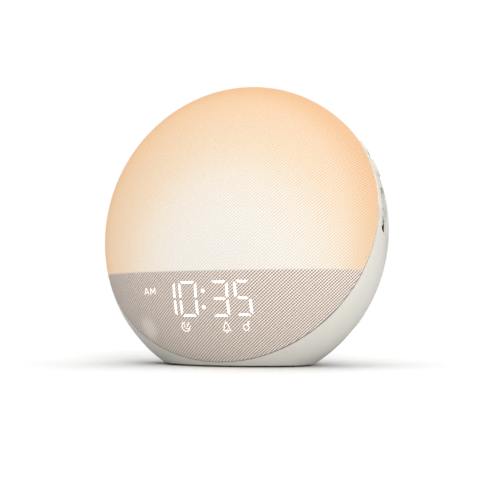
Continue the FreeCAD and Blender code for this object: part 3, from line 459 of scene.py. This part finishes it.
def weave_lines():
    """Height and depth of a fine slanting weave, from a position along the cloth."""
    group = bpy.data.node_groups.new("weave_lines", "ShaderNodeTree")
    add_socket(group, "Position", "NodeSocketVector", "INPUT")
    add_socket(group, "Height", "NodeSocketFloat", "OUTPUT")
    add_socket(group, "Depth", "NodeSocketFloat", "OUTPUT")
    given, out = group.nodes.new("NodeGroupInput"), group.nodes.new("NodeGroupOutput")
    families = []
    for angle, pitch in ((-48.0, 0.00130), (45.0, 0.00116)):
        turned = add_node(group, "Mapping", {"Vector": given.outputs["Position"],
                                             "Rotation": (0.0, math.radians(angle), 0.0)})
        waves = {"Vector": turned.outputs["Vector"], "Scale": math.tau / 20.0 / pitch}
        bands = add_node(group, "TexWave", waves, wave_type="BANDS", bands_direction="X", wave_profile="SIN")
        families.append(bands.outputs["Fac"])
    crossing = 0.6
    threads = add_node(group, "Math", {0: families[1], 1: crossing, 2: families[0]}, operation="MULTIPLY_ADD")
    depth = add_node(group, "Math", {0: threads.outputs["Value"], 1: 1.0 + crossing}, operation="DIVIDE")
    set_inputs(group, out, {"Height": threads.outputs["Value"], "Depth": depth.outputs["Value"]})
    return group


def colour_ramp(tree, value, stops):
    """The colour of a value on a ramp with two stops or more, each a place and a colour."""
    node = add_node(tree, "ValToRGB", {"Fac": value})
    while len(node.color_ramp.elements) < len(stops):
        node.color_ramp.elements.new(0.5)
    for element, (position, colour) in zip(node.color_ramp.elements, stops):
        element.position = position
        element.color = (*colour, 1.0)
    return node.outputs["Color"]


def cloth_material():
    """Yarn below the shelf's level and lamplight above it, both with the weave."""
    material, tree, surface = start_material("lit_cloth")

    def worked(operation, *values):
        return add_node(tree, "Math", dict(enumerate(values)), operation=operation).outputs["Value"]

    def vector(operation, *values):
        return add_node(tree, "VectorMath", dict(enumerate(values)), operation=operation)

    def scaled(given, scale):
        return add_node(tree, "VectorMath", {0: given, "Scale": scale}, operation="SCALE").outputs["Vector"]

    def eased(value, start, end, low, high):
        return add_node(tree, "MapRange", {"Value": value, "From Min": start, "From Max": end, "To Min": low,
                                           "To Max": high}, interpolation_type="SMOOTHSTEP").outputs["Result"]

    def mixed(factor, colour, other):
        node = add_node(tree, "Mix", {}, data_type="RGBA")
        set_inputs(tree, node, {"Factor": factor, "A": colour, "B": other})
        return node.outputs["Result"]

    place = object_place(tree)
    own = add_node(tree, "Mapping", {"Vector": place, "Rotation": (body_tilt, 0.0, 0.0),
                                     "Location": clock.inverted().to_translation()}).outputs["Vector"]
    # The weave is laid along the dome's surface, by the length of its arc from the middle.
    flat_place = vector("MULTIPLY", own, (1 / pebble_radius, 0.0, 1 / pebble_radius)).outputs["Vector"]
    from_middle = vector("LENGTH", flat_place).outputs["Value"]
    parts = add_node(tree, "SeparateXYZ", {"Vector": own})
    turn = worked("ARCTAN2", from_middle, worked("DIVIDE", parts.outputs["Y"], -front_depth))
    flattening = -0.0866
    shortened = worked("MULTIPLY_ADD", worked("MULTIPLY", turn, turn), flattening, 1.0)
    arc_length = worked("MULTIPLY", turn, shortened)
    laid = scaled(own, worked("DIVIDE", arc_length, from_middle))
    weave = add_node(tree, "Group", {"Position": laid}, node_tree=weave_lines())
    # The threads show most on the side that the room's light comes from.
    clarity = add_node(tree, "MapRange", {"Value": parts.outputs["X"], "From Min": -0.06, "From Max": 0.06,
                                          "To Min": 0.35, "To Max": 1.0})
    open_weave = add_node(tree, "Mix", {"Factor": clarity.outputs["Result"], "A": 0.5,
                                        "B": weave.outputs["Depth"]}).outputs["Result"]
    # The lamplight, from nearly white low in the middle to orange at the rim.
    spread = add_node(tree, "Mapping", {"Vector": own, "Location": (-0.0126 / 0.110, 0.0, 0.034 / 0.125),
                                        "Scale": (1 / 0.110, 0.0, 1 / 0.125)})
    distance = vector("LENGTH", spread.outputs["Vector"]).outputs["Value"]
    glow = colour_ramp(tree, distance, (
        (0.0, (0.897, 0.858, 0.815)), (0.30, (0.905, 0.864, 0.807)), (0.45, (0.913, 0.825, 0.710)),
        (0.60, (0.917, 0.735, 0.545)), (0.75, (0.915, 0.665, 0.450)), (0.87, (0.895, 0.600, 0.345)),
        (1.0, (0.870, 0.545, 0.270))))
    thread_tint = colour_ramp(tree, open_weave, ((0.1, (0.88, 0.81, 0.73)), (0.9, (1.08, 1.13, 1.18))))
    woven_glow = vector("MULTIPLY", glow, thread_tint).outputs["Vector"]
    by_rim = eased(from_middle, 0.80, 1.0, 0.0, 1.0)
    rim_tint = mixed(by_rim, (1.0, 1.0, 1.0, 1.0), (0.975, 0.86, 0.75, 1.0))
    rimmed_glow = vector("MULTIPLY", woven_glow, rim_tint).outputs["Vector"]
    height = add_node(tree, "SeparateXYZ", {"Vector": place}).outputs["Z"]
    lit = eased(height, horizon - 0.0006, horizon + 0.0006, 0.0, 1.0)
    lamplight = 0.66
    emitted = scaled(rimmed_glow, worked("MULTIPLY", lit, lamplight))
    # Painted lamplight: above the shelf the cloth's base colour is the glow's own colour at three tenths of
    # its strength, not the yarn's.
    glow_painted_as_base = scaled(rimmed_glow, 0.30)
    # The yarn, with a painted highlight low on the left, a paler patch that stands in for a soft reflection.
    yarn = colour_ramp(tree, open_weave, ((0.2, (0.24, 0.175, 0.14)), (0.8, (0.95, 0.85, 0.77))))
    from_highlight_spot = vector("DISTANCE", own, (-0.0397, -0.0253, -0.0537)).outputs["Value"]
    # Painted highlight: the yarn is paled towards a light tone round one spot low on the left.
    patch = eased(from_highlight_spot, 0.009, 0.002, 0.0, 0.5)
    yarn_with_painted_highlight = mixed(patch, yarn, (0.90, 0.86, 0.82, 1.0))
    relief = add_node(tree, "Bump", {"Strength": 0.4, "Distance": 0.00015, "Height": weave.outputs["Height"]})
    # Base colour: the yarn with its painted highlight below the shelf, and the painted lamplight above it.
    set_inputs(tree, surface, {
        "Base Color": mixed(lit, yarn_with_painted_highlight, glow_painted_as_base), "Emission Color": emitted, "Emission Strength": 1.0,
        "Normal": relief.outputs["Normal"], "Roughness": 0.85, "Sheen Weight": 0.1})
    return material


cloth_skin = pebble_skin(-seam, -quarter, 56)
cloth_area = sum(face.calc_area() for face in cloth_skin.faces)
cloth = as_object("front_cloth", cloth_skin, cloth_material())
skin = cloth.modifiers.new("thickness", "SOLIDIFY")
skin.thickness = cloth_thickness
skin.offset = -1.0
settle(cloth)
smooth(cloth)
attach(cloth, "clock")
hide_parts("fabric_cover")

# The display. Light from the guides behind the cloth draws four digits, their colon, a mark for
# the morning and three small signs on it, soft at the edges where the threads spread it.


def glowing(name, colour, strength):
    """Light that the threads break up, a quarter weaker where they lie thickest."""
    material, tree, surface = start_material(name)
    patch = add_node(tree, "TexNoise", {"Vector": object_place(tree), "Scale": 1400.0, "Detail": 2.0})
    weaker = [c * 0.75 for c in colour]
    light = colour_ramp(tree, patch.outputs["Fac"], ((0.0, weaker), (1.0, colour)))
    set_inputs(tree, surface, {"Emission Color": light, "Emission Strength": strength,
                               "Base Color": (0.8, 0.78, 0.74, 1.0), "Roughness": 0.8})
    return material


digit_light = glowing("digit_light", (1.0, 0.97, 0.93), 1.15)
print_lift = 0.00004
film = 0.00008


def front_skin(x, z, lift):
    flat = pebble_radius + lift
    return -(front_depth + lift) * math.sqrt(1.0 - (x * x + z * z) / flat ** 2)


def lay_on_cloth(shape):
    """Drops a flat drawing in the X and Z of the clock's axes onto the front of the cloth."""
    bmesh.ops.subdivide_edges(shape, edges=[e for e in shape.edges if e.calc_length() > 0.0015], cuts=3,
                              use_grid_fill=True)
    bmesh.ops.triangulate(shape, faces=[f for f in shape.faces if len(f.verts) > 4])
    lifted = bmesh.ops.extrude_face_region(shape, geom=shape.faces[:])["geom"]
    upper = {v for v in lifted if isinstance(v, bmesh.types.BMVert)}
    for vertex in shape.verts:
        x, z = vertex.co.x, vertex.co.z
        vertex.co.y = front_skin(x, z, print_lift + film if vertex in upper else print_lift)
    bmesh.ops.recalc_face_normals(shape, faces=shape.faces)
    shape.transform(clock)


def stroke(shape, corners):
    shape.faces.new([shape.verts.new((x, 0.0, z)) for x, z in corners])


def digit(shape, left, right, lit, top=-0.0312, middle=-0.0394, bottom=-0.0476):
    """Draws the lit strokes of a seven-stroke digit, each with slanted ends."""
    width = 0.00118
    thin = 0.00112
    mitre = 0.0006
    gap = 0.0005
    for name, level in (("top", top), ("middle", middle), ("bottom", bottom)):
        if name not in lit:
            continue
        x0, x1 = left + width / 2 + gap, right - width / 2 - gap
        low, high = level - thin / 2, level + thin / 2
        if name == "middle":
            stroke(shape, ((x0 + mitre, low), (x1 - mitre, low), (x1, level), (x1 - mitre, high),
                           (x0 + mitre, high), (x0, level)))
        else:
            inner, outer = (low, high) if name == "top" else (high, low)
            stroke(shape, ((x0 + mitre, inner), (x1 - mitre, inner), (x1 + mitre, outer),
                           (x0 - mitre, outer)))
    for name, x in (("left", left), ("right", right)):
        for part, low, high in (("upper", middle, top), ("lower", bottom, middle)):
            if name + "_" + part not in lit:
                continue
            z0, z1 = low + gap + thin / 4, high - gap - thin / 4
            inner = x + (width / 2 if name == "left" else -width / 2)
            outer = x - (width / 2 if name == "left" else -width / 2)
            slant0, slant1 = (mitre, 0.0) if part == "lower" else (0.0, mitre)
            stroke(shape, ((outer, z0 - slant0), (inner, z0 + slant0), (inner, z1 - slant1),
                           (outer, z1 + slant1)))


numerals = bmesh.new()
digit(numerals, -0.0277, -0.0188, ("right_upper", "right_lower"))
digit(numerals, -0.0152, -0.0060, ("top", "bottom", "left_upper", "left_lower", "right_upper", "right_lower"))
digit(numerals, 0.0029, 0.0114, ("top", "middle", "bottom", "right_upper", "right_lower"))
digit(numerals, 0.0158, 0.0233, ("top", "middle", "bottom", "left_upper", "right_lower"),
      -0.0309, -0.0390, -0.0471)
for x, z in ((-0.0018, -0.0355), (-0.0020, -0.0436)):
    bmesh.ops.create_circle(numerals, cap_ends=True, segments=20, radius=0.00095,
                            matrix=Matrix.Translation((x, 0.0, z)) @ Matrix.Rotation(quarter, 4, "X"))
lay_on_cloth(numerals)
numerals = as_object("display_numerals", numerals, digit_light)
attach(numerals, "clock")

sign_light = glowing("sign_light", (0.95, 0.88, 0.81), 0.70)


def ribbon(shape, path, width, closed=False):
    """A thin band along a path in the X and Z of the clock's axes."""
    points = [Vector(p) for p in path]
    count = len(points)
    rails = []
    for k, point in enumerate(points):
        before = points[k - 1] if k or closed else point
        after = points[(k + 1) % count] if k + 1 < count or closed else point
        way = (after - before).normalized()
        aside = Vector((-way.y, way.x)) * width / 2
        rails.append([shape.verts.new((q.x, 0.0, q.y)) for q in (point + aside, point - aside)])
    if closed:
        rails.append(rails[0])
    for near, far in zip(rails, rails[1:]):
        shape.faces.new((near[0], near[1], far[1], far[0]))


def arc(cx, cz, radius, first, last, steps=18):
    turns = [math.radians(first + (last - first) * k / steps) for k in range(steps + 1)]
    return [(cx + radius * math.cos(t), cz + radius * math.sin(t)) for t in turns]


signs = bmesh.new()
line = 0.0004
moon_x, moon_z = -0.0141, -0.0531
ribbon(signs, arc(moon_x, moon_z, 0.0024, 118, 352, 26), line)
ribbon(signs, arc(moon_x + 0.0010, moon_z + 0.0008, 0.0019, 346, 124, 26), line * 0.8)
for k, size in enumerate((0.0009, 0.0007)):
    zx, zz = moon_x + 0.0007 + 0.0010 * k, moon_z + 0.0001 + 0.0011 * k
    ribbon(signs, ((zx, zz + size), (zx + size, zz + size)), line * 0.7)
    ribbon(signs, ((zx + size, zz + size), (zx, zz)), line * 0.7)
    ribbon(signs, ((zx, zz), (zx + size, zz)), line * 0.7)
bell_x, bell_z = 0.0092, -0.0549
half_bell = ((0.0022, 0.0), (0.0014, 0.0010), (0.0011, 0.0024), (0.0005, 0.0034))
ribbon(signs, [(bell_x - x, bell_z + z) for x, z in half_bell] + [(bell_x, bell_z + 0.0038)]
       + [(bell_x + x, bell_z + z) for x, z in reversed(half_bell)], line, closed=True)
ribbon(signs, arc(bell_x, bell_z - 0.0002, 0.0008, 200, 340, 8), line)
ribbon(signs, ((bell_x, bell_z + 0.0038), (bell_x, bell_z + 0.0045)), line)
ring_x, ring_z = 0.0195, -0.0534
ribbon(signs, arc(ring_x, ring_z, 0.0014, 0, 345, 24), line, closed=True)
ribbon(signs, ((ring_x + 0.0009, ring_z + 0.0011), (ring_x + 0.0017, ring_z + 0.0030)), line)
ribbon(signs, ((ring_x + 0.0009, ring_z + 0.0027), (ring_x + 0.0023, ring_z + 0.0030)), line)
lay_on_cloth(signs)
signs = as_object("display_signs", signs, sign_light)
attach(signs, "clock")

letters = bmesh.new()
low, high = -0.0366, -0.0333
for x0, z0, x1, z1 in (
        (-0.0388, low, -0.0372, high), (-0.0372, high, -0.0356, low),
        (-0.0382, low + 0.0011, -0.0362, low + 0.0011),
        (-0.0343, low, -0.0343, high), (-0.0343, high, -0.0328, low + 0.0009),
        (-0.0328, low + 0.0009, -0.0313, high), (-0.0313, high, -0.0313, low)):
    ribbon(letters, ((x0, z0), (x1, z1)), line)
lay_on_cloth(letters)
letters = as_object("morning_mark", letters, sign_light)
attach(letters, "clock")

# The keys. Four small square caps, two on each flank, moulded in a plastic a shade darker than the
# housing's. Each has rounded edges and stands a little proud in its own hole, over a lip that holds
# it in.
lip_reach = 0.001
lip_inset = 0.0012
lip_height = 0.0012
stem_length = 0.0012
stem_radius = 0.002


def cap_shape(half_x, half_y, top, depth, edge):
    """A cap with its lip and stem, in the axes of its own place."""
    inner = top - depth
    cap = soft_block(half_x, half_y, inner, top, key_corner, edge)
    block(cap, table, (-half_x - lip_reach, -half_y + lip_inset, inner),
          (half_x + lip_reach, half_y - lip_inset, inner + lip_height))
    post(cap, table, "Z", inner - stem_length, inner + 0.0002, stem_radius, 24)
    return cap


def crown(cap, place, half_x, half_y, top, proud, cuts):
    """Bends a cap's face to the housing's curve, a little proud of it."""
    for k in range(1, cuts):
        for half, way in ((half_x, (1.0, 0.0, 0.0)), (half_y, (0.0, 1.0, 0.0))):
            bmesh.ops.bisect_plane(cap, geom=cap.verts[:] + cap.edges[:] + cap.faces[:], dist=0.00001,
                                   plane_co=[half * (2 * k / cuts - 1) * axis for axis in way], plane_no=way)
    for vertex in cap.verts:
        if vertex.co.z > top - 0.004:
            spot = place @ Matrix.Translation((vertex.co.x, vertex.co.y, 0.0))
            vertex.co.z += reach(spot) + proud - top


def seat_cap(name, cap, place, body):
    cap.transform(clock @ place)
    piece = as_object(name, cap, key_plastic)
    smooth(piece)
    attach(piece, body)
    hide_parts(body)


key_plastic = moulded("key_plastic", (0.62, 0.605, 0.56), 0.5, 0.000003)
crown_proud = 0.00065
for side, hand in ((-1, "left"), (1, "right")):
    for level, word in ((-1, "upper"), (1, "lower")):
        body = hand + "_" + word + "_key"
        place = flank_place(side) @ Matrix.Translation((side * level * key_pitch / 2, 0.0, 0.0))
        cap = cap_shape(key_half, key_half, key_top, key_depth, 0.0008)
        crown(cap, place, key_half, key_half, key_top, crown_proud, 6)
        seat_cap(body + "_cap", cap, place, body)

# The bar on top, for snooze and for the light. A long cap of the keys' plastic, whose face follows
# the housing's curve and stands less than half a millimetre proud of it.
bar = cap_shape(bar_half_length, bar_half_width, bar_top, bar_depth, 0.0006)
crown(bar, top_place, bar_half_length, bar_half_width, bar_top, bar_proud, 24)
seat_cap("snooze_bar_cap", bar, top_place, "snooze_bar")

# The dial. A thumb wheel moulded in one piece with its knurled edge, standing in its slot on the
# steel shaft of an encoder.
knurls = 20
groove_depth = 0.0008
wheel_half = 0.0035
wheel = bmesh.new()
post(wheel, table, "Y", -wheel_half, wheel_half, dial_radius, knurls * 8)
edges = [e for e in wheel.edges
         if abs(e.verts[0].co.y - e.verts[1].co.y) < 1e-7 and e.verts[0].co.xz.length > 0.01]
round_edges(wheel, edges, 0.0006)
for vertex in wheel.verts:
    turn = math.atan2(vertex.co.z, vertex.co.x)
    if math.cos(knurls * turn) > 0.5:
        for axis in ("x", "z"):
            setattr(vertex.co, axis, getattr(vertex.co, axis) * (1 - groove_depth / dial_radius))
wheel.transform(dial_place)
wheel = as_object("knurled_wheel", wheel, moulded("dial_plastic", (0.60, 0.585, 0.545), 0.42))
smooth(wheel, 24.0)
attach(wheel, "dial")
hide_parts("dial_wheel")

# The speaker grille. A round plate of the housing's plastic with a honeycomb of open cells, set
# flush in its seat on the back.
comb_pitch = 0.006
comb_radius = 0.0025
rings = 3
plate = bmesh.new()
post(plate, clock, "Y", grille_seat, grille_face, grille_radius, 96)
outer = [e for e in plate.edges if (clock.inverted() @ e.verts[0].co).y > grille_face - 1e-6
         and (clock.inverted() @ e.verts[1].co).y > grille_face - 1e-6]
round_edges(plate, outer, 0.0004)
plate = as_object("honeycomb_grille", plate, housing_plastic)
combs = bmesh.new()
for row in range(-rings, rings + 1):
    for column in range(-rings, rings + 1):
        if abs(row + column) > rings:
            continue
        spot = at_clock(comb_pitch * (column + row / 2), comb_pitch * row * math.sqrt(3) / 2)
        post(combs, spot @ Matrix.Rotation(math.radians(30.0), 4, "Y"), "Y", grille_seat - 0.002,
             grille_face + 0.002, comb_radius, 6)
carve(plate, as_object("combs", combs, housing_plastic))
smooth(plate)
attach(plate, "clock")
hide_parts("speaker_grille")

# The speaker behind the grille. A pressed paper cone with a soft rolled edge and a dust cap, in
# a black basket that is screwed to the housing's collar.


def lathe(name, profile, material):
    """Turns pairs of radius and depth about the clock's Y axis."""
    shape = spun(profile, 72, 1e-6)
    bmesh.ops.recalc_face_normals(shape, faces=shape.faces)
    shape.transform(clock)
    piece = as_object(name, shape, material)
    smooth(piece, 40.0)
    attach(piece, "clock")
    return piece


black_plastic = moulded("black_plastic", (0.025, 0.025, 0.027), 0.45)
pressed_paper = moulded("pressed_paper", (0.035, 0.033, 0.031), 0.85, 0.00012, 900.0)
front = speaker_collar
cone = lathe("paper_cone", (
    (0.0, front - 0.0072), (0.0048, front - 0.0074), (0.0180, front - 0.0006), (0.0208, front - 0.0006),
    (0.0208, front), (0.0202, front + 0.0007), (0.0194, front + 0.0009), (0.0186, front + 0.0005),
    (0.0180, front - 0.0001), (0.0064, front - 0.0062), (0.0058, front - 0.0058), (0.0040, front - 0.0051),
    (0.0020, front - 0.0048), (0.0, front - 0.0047),
), pressed_paper)
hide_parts("speaker_cone")
back = speaker_collar - 0.0016
basket = lathe("pressed_basket", (
    (0.0, back - 0.0094), (0.0136, back - 0.0094), (0.0140, back - 0.0090), (0.0200, back), (0.0268, back),
    (0.0270, back + 0.0002), (0.0270, front), (0.0215, front), (0.0130, back - 0.0078), (0.0, back - 0.0078),
), black_plastic)
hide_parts("speaker_basket")

# The power inlet. A round socket moulded in black plastic, with a steel pin in it. Its block sits
# behind the web of its recess, and its nose fills the window in the web.
jack_back = inlet_floor - inlet_web
jack_depth = 0.012
nose_radius = 0.004
bore_radius = 0.0028
bore_depth = 0.008
jack = bmesh.new()
block(jack, at_clock(inlet_x, inlet_z), (-0.0045, jack_back - jack_depth, -0.0055),
      (0.0045, jack_back, 0.0055))
jack = as_object("round_inlet", jack, black_plastic)
nose = bmesh.new()
post(nose, at_clock(inlet_x, inlet_z), "Y", jack_back - 0.001, inlet_floor, nose_radius, 56)
rim_edges = [e for e in nose.edges if min((clock.inverted() @ v.co).y for v in e.verts) > inlet_floor - 1e-6]
round_edges(nose, rim_edges, 0.0003)
carve(jack, as_object("nose", nose, black_plastic), "UNION")
bore = bmesh.new()
post(bore, at_clock(inlet_x, inlet_z), "Y", jack_back - bore_depth, inlet_floor + 0.001, bore_radius, 56)
carve(jack, as_object("bore", bore, black_plastic))
smooth(jack)
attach(jack, "clock")
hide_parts("power_jack")

# The housing's screws. Four pan heads of zinc-plated steel, each with a cross recess, deep in their
# wells. They hold the housing to the front frame.


def plated(name, colour, roughness):
    """Bright metal with the faint streaks that plating and handling leave."""
    material, tree, surface = start_material(name)
    noise = add_node(tree, "TexNoise", {"Vector": object_place(tree), "Scale": 700.0, "Detail": 4.0})
    streaks = noise.outputs["Fac"]
    rough = add_node(tree, "MapRange", {"Value": streaks, "To Min": roughness - 0.08,
                                        "To Max": roughness + 0.10})
    duller = [c * 0.86 for c in colour]
    relief = add_node(tree, "Bump", {"Strength": 0.2, "Distance": 0.00001, "Height": streaks})
    set_inputs(tree, surface, {
        "Base Color": colour_ramp(tree, streaks, ((0.0, duller), (1.0, colour))), "Metallic": 1.0,
        "Roughness": rough.outputs["Result"], "Normal": relief.outputs["Normal"]})
    return material


zinc = plated("zinc", (0.66, 0.66, 0.65), 0.34)
head_radius = 0.003
head_height = 0.0022
shank_radius = 0.0015
shank_length = 0.0072
screws = bmesh.new()
crosses = bmesh.new()
for x, z in well_places:
    head = well_front(z) + well_web
    post(screws, at_clock(x, z), "Y", head, head + head_height, head_radius)
    post(screws, at_clock(x, z), "Y", head - shank_length, head - 0.00002, shank_radius, 24)
    for turn in (20.0, 110.0):
        spot = at_clock(x, z) @ Matrix.Rotation(math.radians(turn + 900.0 * x), 4, "Y")
        block(crosses, spot, (-0.0019, head + 0.0008, -0.0004), (0.0019, head + 0.003, 0.0004))
rim_chord = 2 * head_radius * math.sin(math.pi / 48)
top_edges = [e for e in screws.edges if abs(e.calc_length() - rim_chord) < 1e-7]
round_edges(screws, top_edges, 0.0007, 4)
screws = as_object("cross_screws", screws, zinc)
crosses = as_object("crosses", crosses, zinc)
carve(screws, crosses)
smooth(screws)
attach(screws, "clock")
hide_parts("housing_screws")

# The cells. Three AAA cells behind the door, the middle one turned about: a plain grey jacket rolled
# over at both ends, a bright nub, and a flat bright base.
cell_length = 0.0445
cell_spacing = 0.0108
cell_gap = 0.0005
nub_length = 0.0009
nub_radius = 0.0019
jacket_radius = 0.0052
jacket = moulded("cell_jacket", (0.10, 0.12, 0.15), 0.3, 0.00001, 1200.0, 0.6)
cells = bmesh.new()
for k in (-1, 0, 1):
    way = 1.0 if k else -1.0
    nub_end = way * (bay_half_length - cell_gap)
    middle = Matrix.Translation((0.0, bay_middle + cell_spacing * k, floor_top + jacket_radius + cell_gap))
    along_x = middle @ Matrix.Rotation(quarter, 4, "Y")
    low, high = sorted((nub_end - way * cell_length, nub_end - way * nub_length))
    post(cells, along_x, "Z", low, high, jacket_radius, 48)
    low, high = sorted((nub_end - way * (nub_length - 0.00002), nub_end))
    post(cells, along_x, "Z", low, high, nub_radius, 32)
rims = [e for e in cells.edges if abs(e.verts[0].co.x - e.verts[1].co.x) < 1e-6]
round_edges(cells, rims, 0.0003)
cells = as_object("jacketed_cells", cells, jacket)
cells.data.materials.append(zinc)
ends = bay_half_length - 0.0016
for face in cells.data.polygons:
    if min(abs(cells.data.vertices[v].co.x) for v in face.vertices) > ends:
        face.material_index = 1
smooth(cells)
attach(cells, "clock")
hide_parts("battery_cells")

# The feet. Four soft grey rubber discs in shallow pockets of the base, rounded where they meet
# the table.
rubber = moulded("foot_rubber", (0.09, 0.09, 0.09), 0.7, 0.00003, 1600.0)
feet = bmesh.new()
for x, y in foot_places:
    post(feet, table @ Matrix.Translation((x, y, 0.0)), "Z", 0.0, foot_top, foot_radius, 40)
lower = [e for e in feet.edges if max(v.co.z for v in e.verts) < 1e-6]
round_edges(feet, lower, 0.0003)
feet = as_object("round_feet", feet, rubber)
smooth(feet)
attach(feet, "clock")
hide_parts("rubber_feet")

# The inner pieces and the battery door. Their solids stay as they are, and each gets the finish that
# its kind has: boards with their tracks, bright metal, plain mouldings, lenses.


def circuit_board(name, mask, track):
    """Solder mask through which a maze of copper tracks shows as thin, slightly sunk lines."""
    material, tree, surface = start_material(name)
    maze = add_node(tree, "TexVoronoi", {"Vector": object_place(tree), "Scale": 320.0},
                    feature="DISTANCE_TO_EDGE", distance="MANHATTAN").outputs["Distance"]
    relief = add_node(tree, "Bump", {"Strength": 0.3, "Distance": 0.00003, "Height": maze})
    set_inputs(tree, surface, {"Base Color": colour_ramp(tree, maze, ((0.0, track), (0.12, mask))),
                               "Normal": relief.outputs["Normal"], "Roughness": 0.28})
    return material


finishes = {
    "stretched_cloth": cloth.data.materials[0],
    "milky_plastic": moulded("milky_plastic", (0.84, 0.83, 0.79), 0.38),
    "white_plastic": moulded("white_plastic", (0.80, 0.80, 0.78), 0.42),
    "housing_plastic": housing_plastic,
    "black_plastic": black_plastic,
    "white_board": circuit_board("white_board", (0.80, 0.82, 0.79), (0.66, 0.69, 0.66)),
    "green_board": circuit_board("green_board", (0.012, 0.085, 0.035), (0.045, 0.19, 0.075)),
    "lens": moulded("lens", (0.90, 0.66, 0.20), 0.12, 0.000005),
    "paper": pressed_paper,
    "steel": zinc,
    "cell_jacket": jacket,
    "grey_rubber": rubber,
}
for part in frame["record"]["subparts"]:
    for place in nodes[part["node"]].material_slots:
        place.material = finishes[part["material_slot"]]

# The room. A plain pale floor that fades to white away from the clock, under one wide soft light
# from above, a large lamp in front and to the right, and a weak one behind.
floor = bmesh.new()
bmesh.ops.create_grid(floor, x_segments=1, y_segments=1, size=1.2)
floor_material, floor_tree, floor_surface = start_material("pale_floor")
floor_rays = add_node(floor_tree, "LightPath", {})
floor_tone = add_node(floor_tree, "MapRange", {"Value": floor_rays.outputs["Is Camera Ray"], "To Min": 0.70,
                                               "To Max": 0.88})
floor_reach = add_node(floor_tree, "VectorMath", {0: object_place(floor_tree)}, operation="LENGTH")
floor_fade = add_node(floor_tree, "MapRange", {"Value": floor_reach.outputs["Value"], "From Min": 0.12,
                                               "From Max": 0.45, "To Max": 0.4})
set_inputs(floor_tree, floor_surface, {
    "Base Color": floor_tone.outputs["Result"], "Roughness": 0.9, "Specular IOR Level": 0.0,
    "Emission Color": (1.0, 1.0, 1.0, 1.0), "Emission Strength": floor_fade.outputs["Result"]})
floor = as_object("pale_floor", floor, floor_material)
bpy.context.scene.view_settings.view_transform = "Standard"
world = bpy.data.worlds.new("white_room")
world.use_nodes = True
room = world.node_tree
white = (1.0, 1.0, 1.0, 1.0)
cast = room.nodes["Background"]
set_inputs(room, cast, {"Color": white, "Strength": 0.19})
seen = add_node(room, "Background", {"Color": white, "Strength": 1.0})
rays = add_node(room, "LightPath", {})
split = add_node(room, "MixShader", {"Fac": rays.outputs["Is Camera Ray"], 1: cast.outputs["Background"],
                                     2: seen.outputs["Background"]})
room.links.new(split.outputs["Shader"], room.nodes["World Output"].inputs["Surface"])
bpy.context.scene.world = world


def soft_lamp(name, place, size, power):
    """A square lamp turned to the clock's middle."""
    lamp_data = bpy.data.lights.new(name, "AREA")
    lamp_data.size = size
    lamp_data.energy = power
    lamp = bpy.data.objects.new(name, lamp_data)
    lamp.location = place
    lamp.rotation_euler = (Vector((0.0, 0.0, 0.07)) - Vector(place)).to_track_quat("-Z", "Y").to_euler()
    bpy.context.scene.collection.objects.link(lamp)


soft_lamp("key_lamp", (0.83, -1.08, 0.46), 0.7, 12.5)
soft_lamp("rear_lamp", (0.1, 1.2, 0.9), 0.9, 2.0)
sky_data = bpy.data.lights.new("sky_lamp", "SUN")
sky_data.energy = 2.3
sky_data.angle = math.radians(75.0)
sky = bpy.data.objects.new("sky_lamp", sky_data)
bpy.context.scene.collection.objects.link(sky)
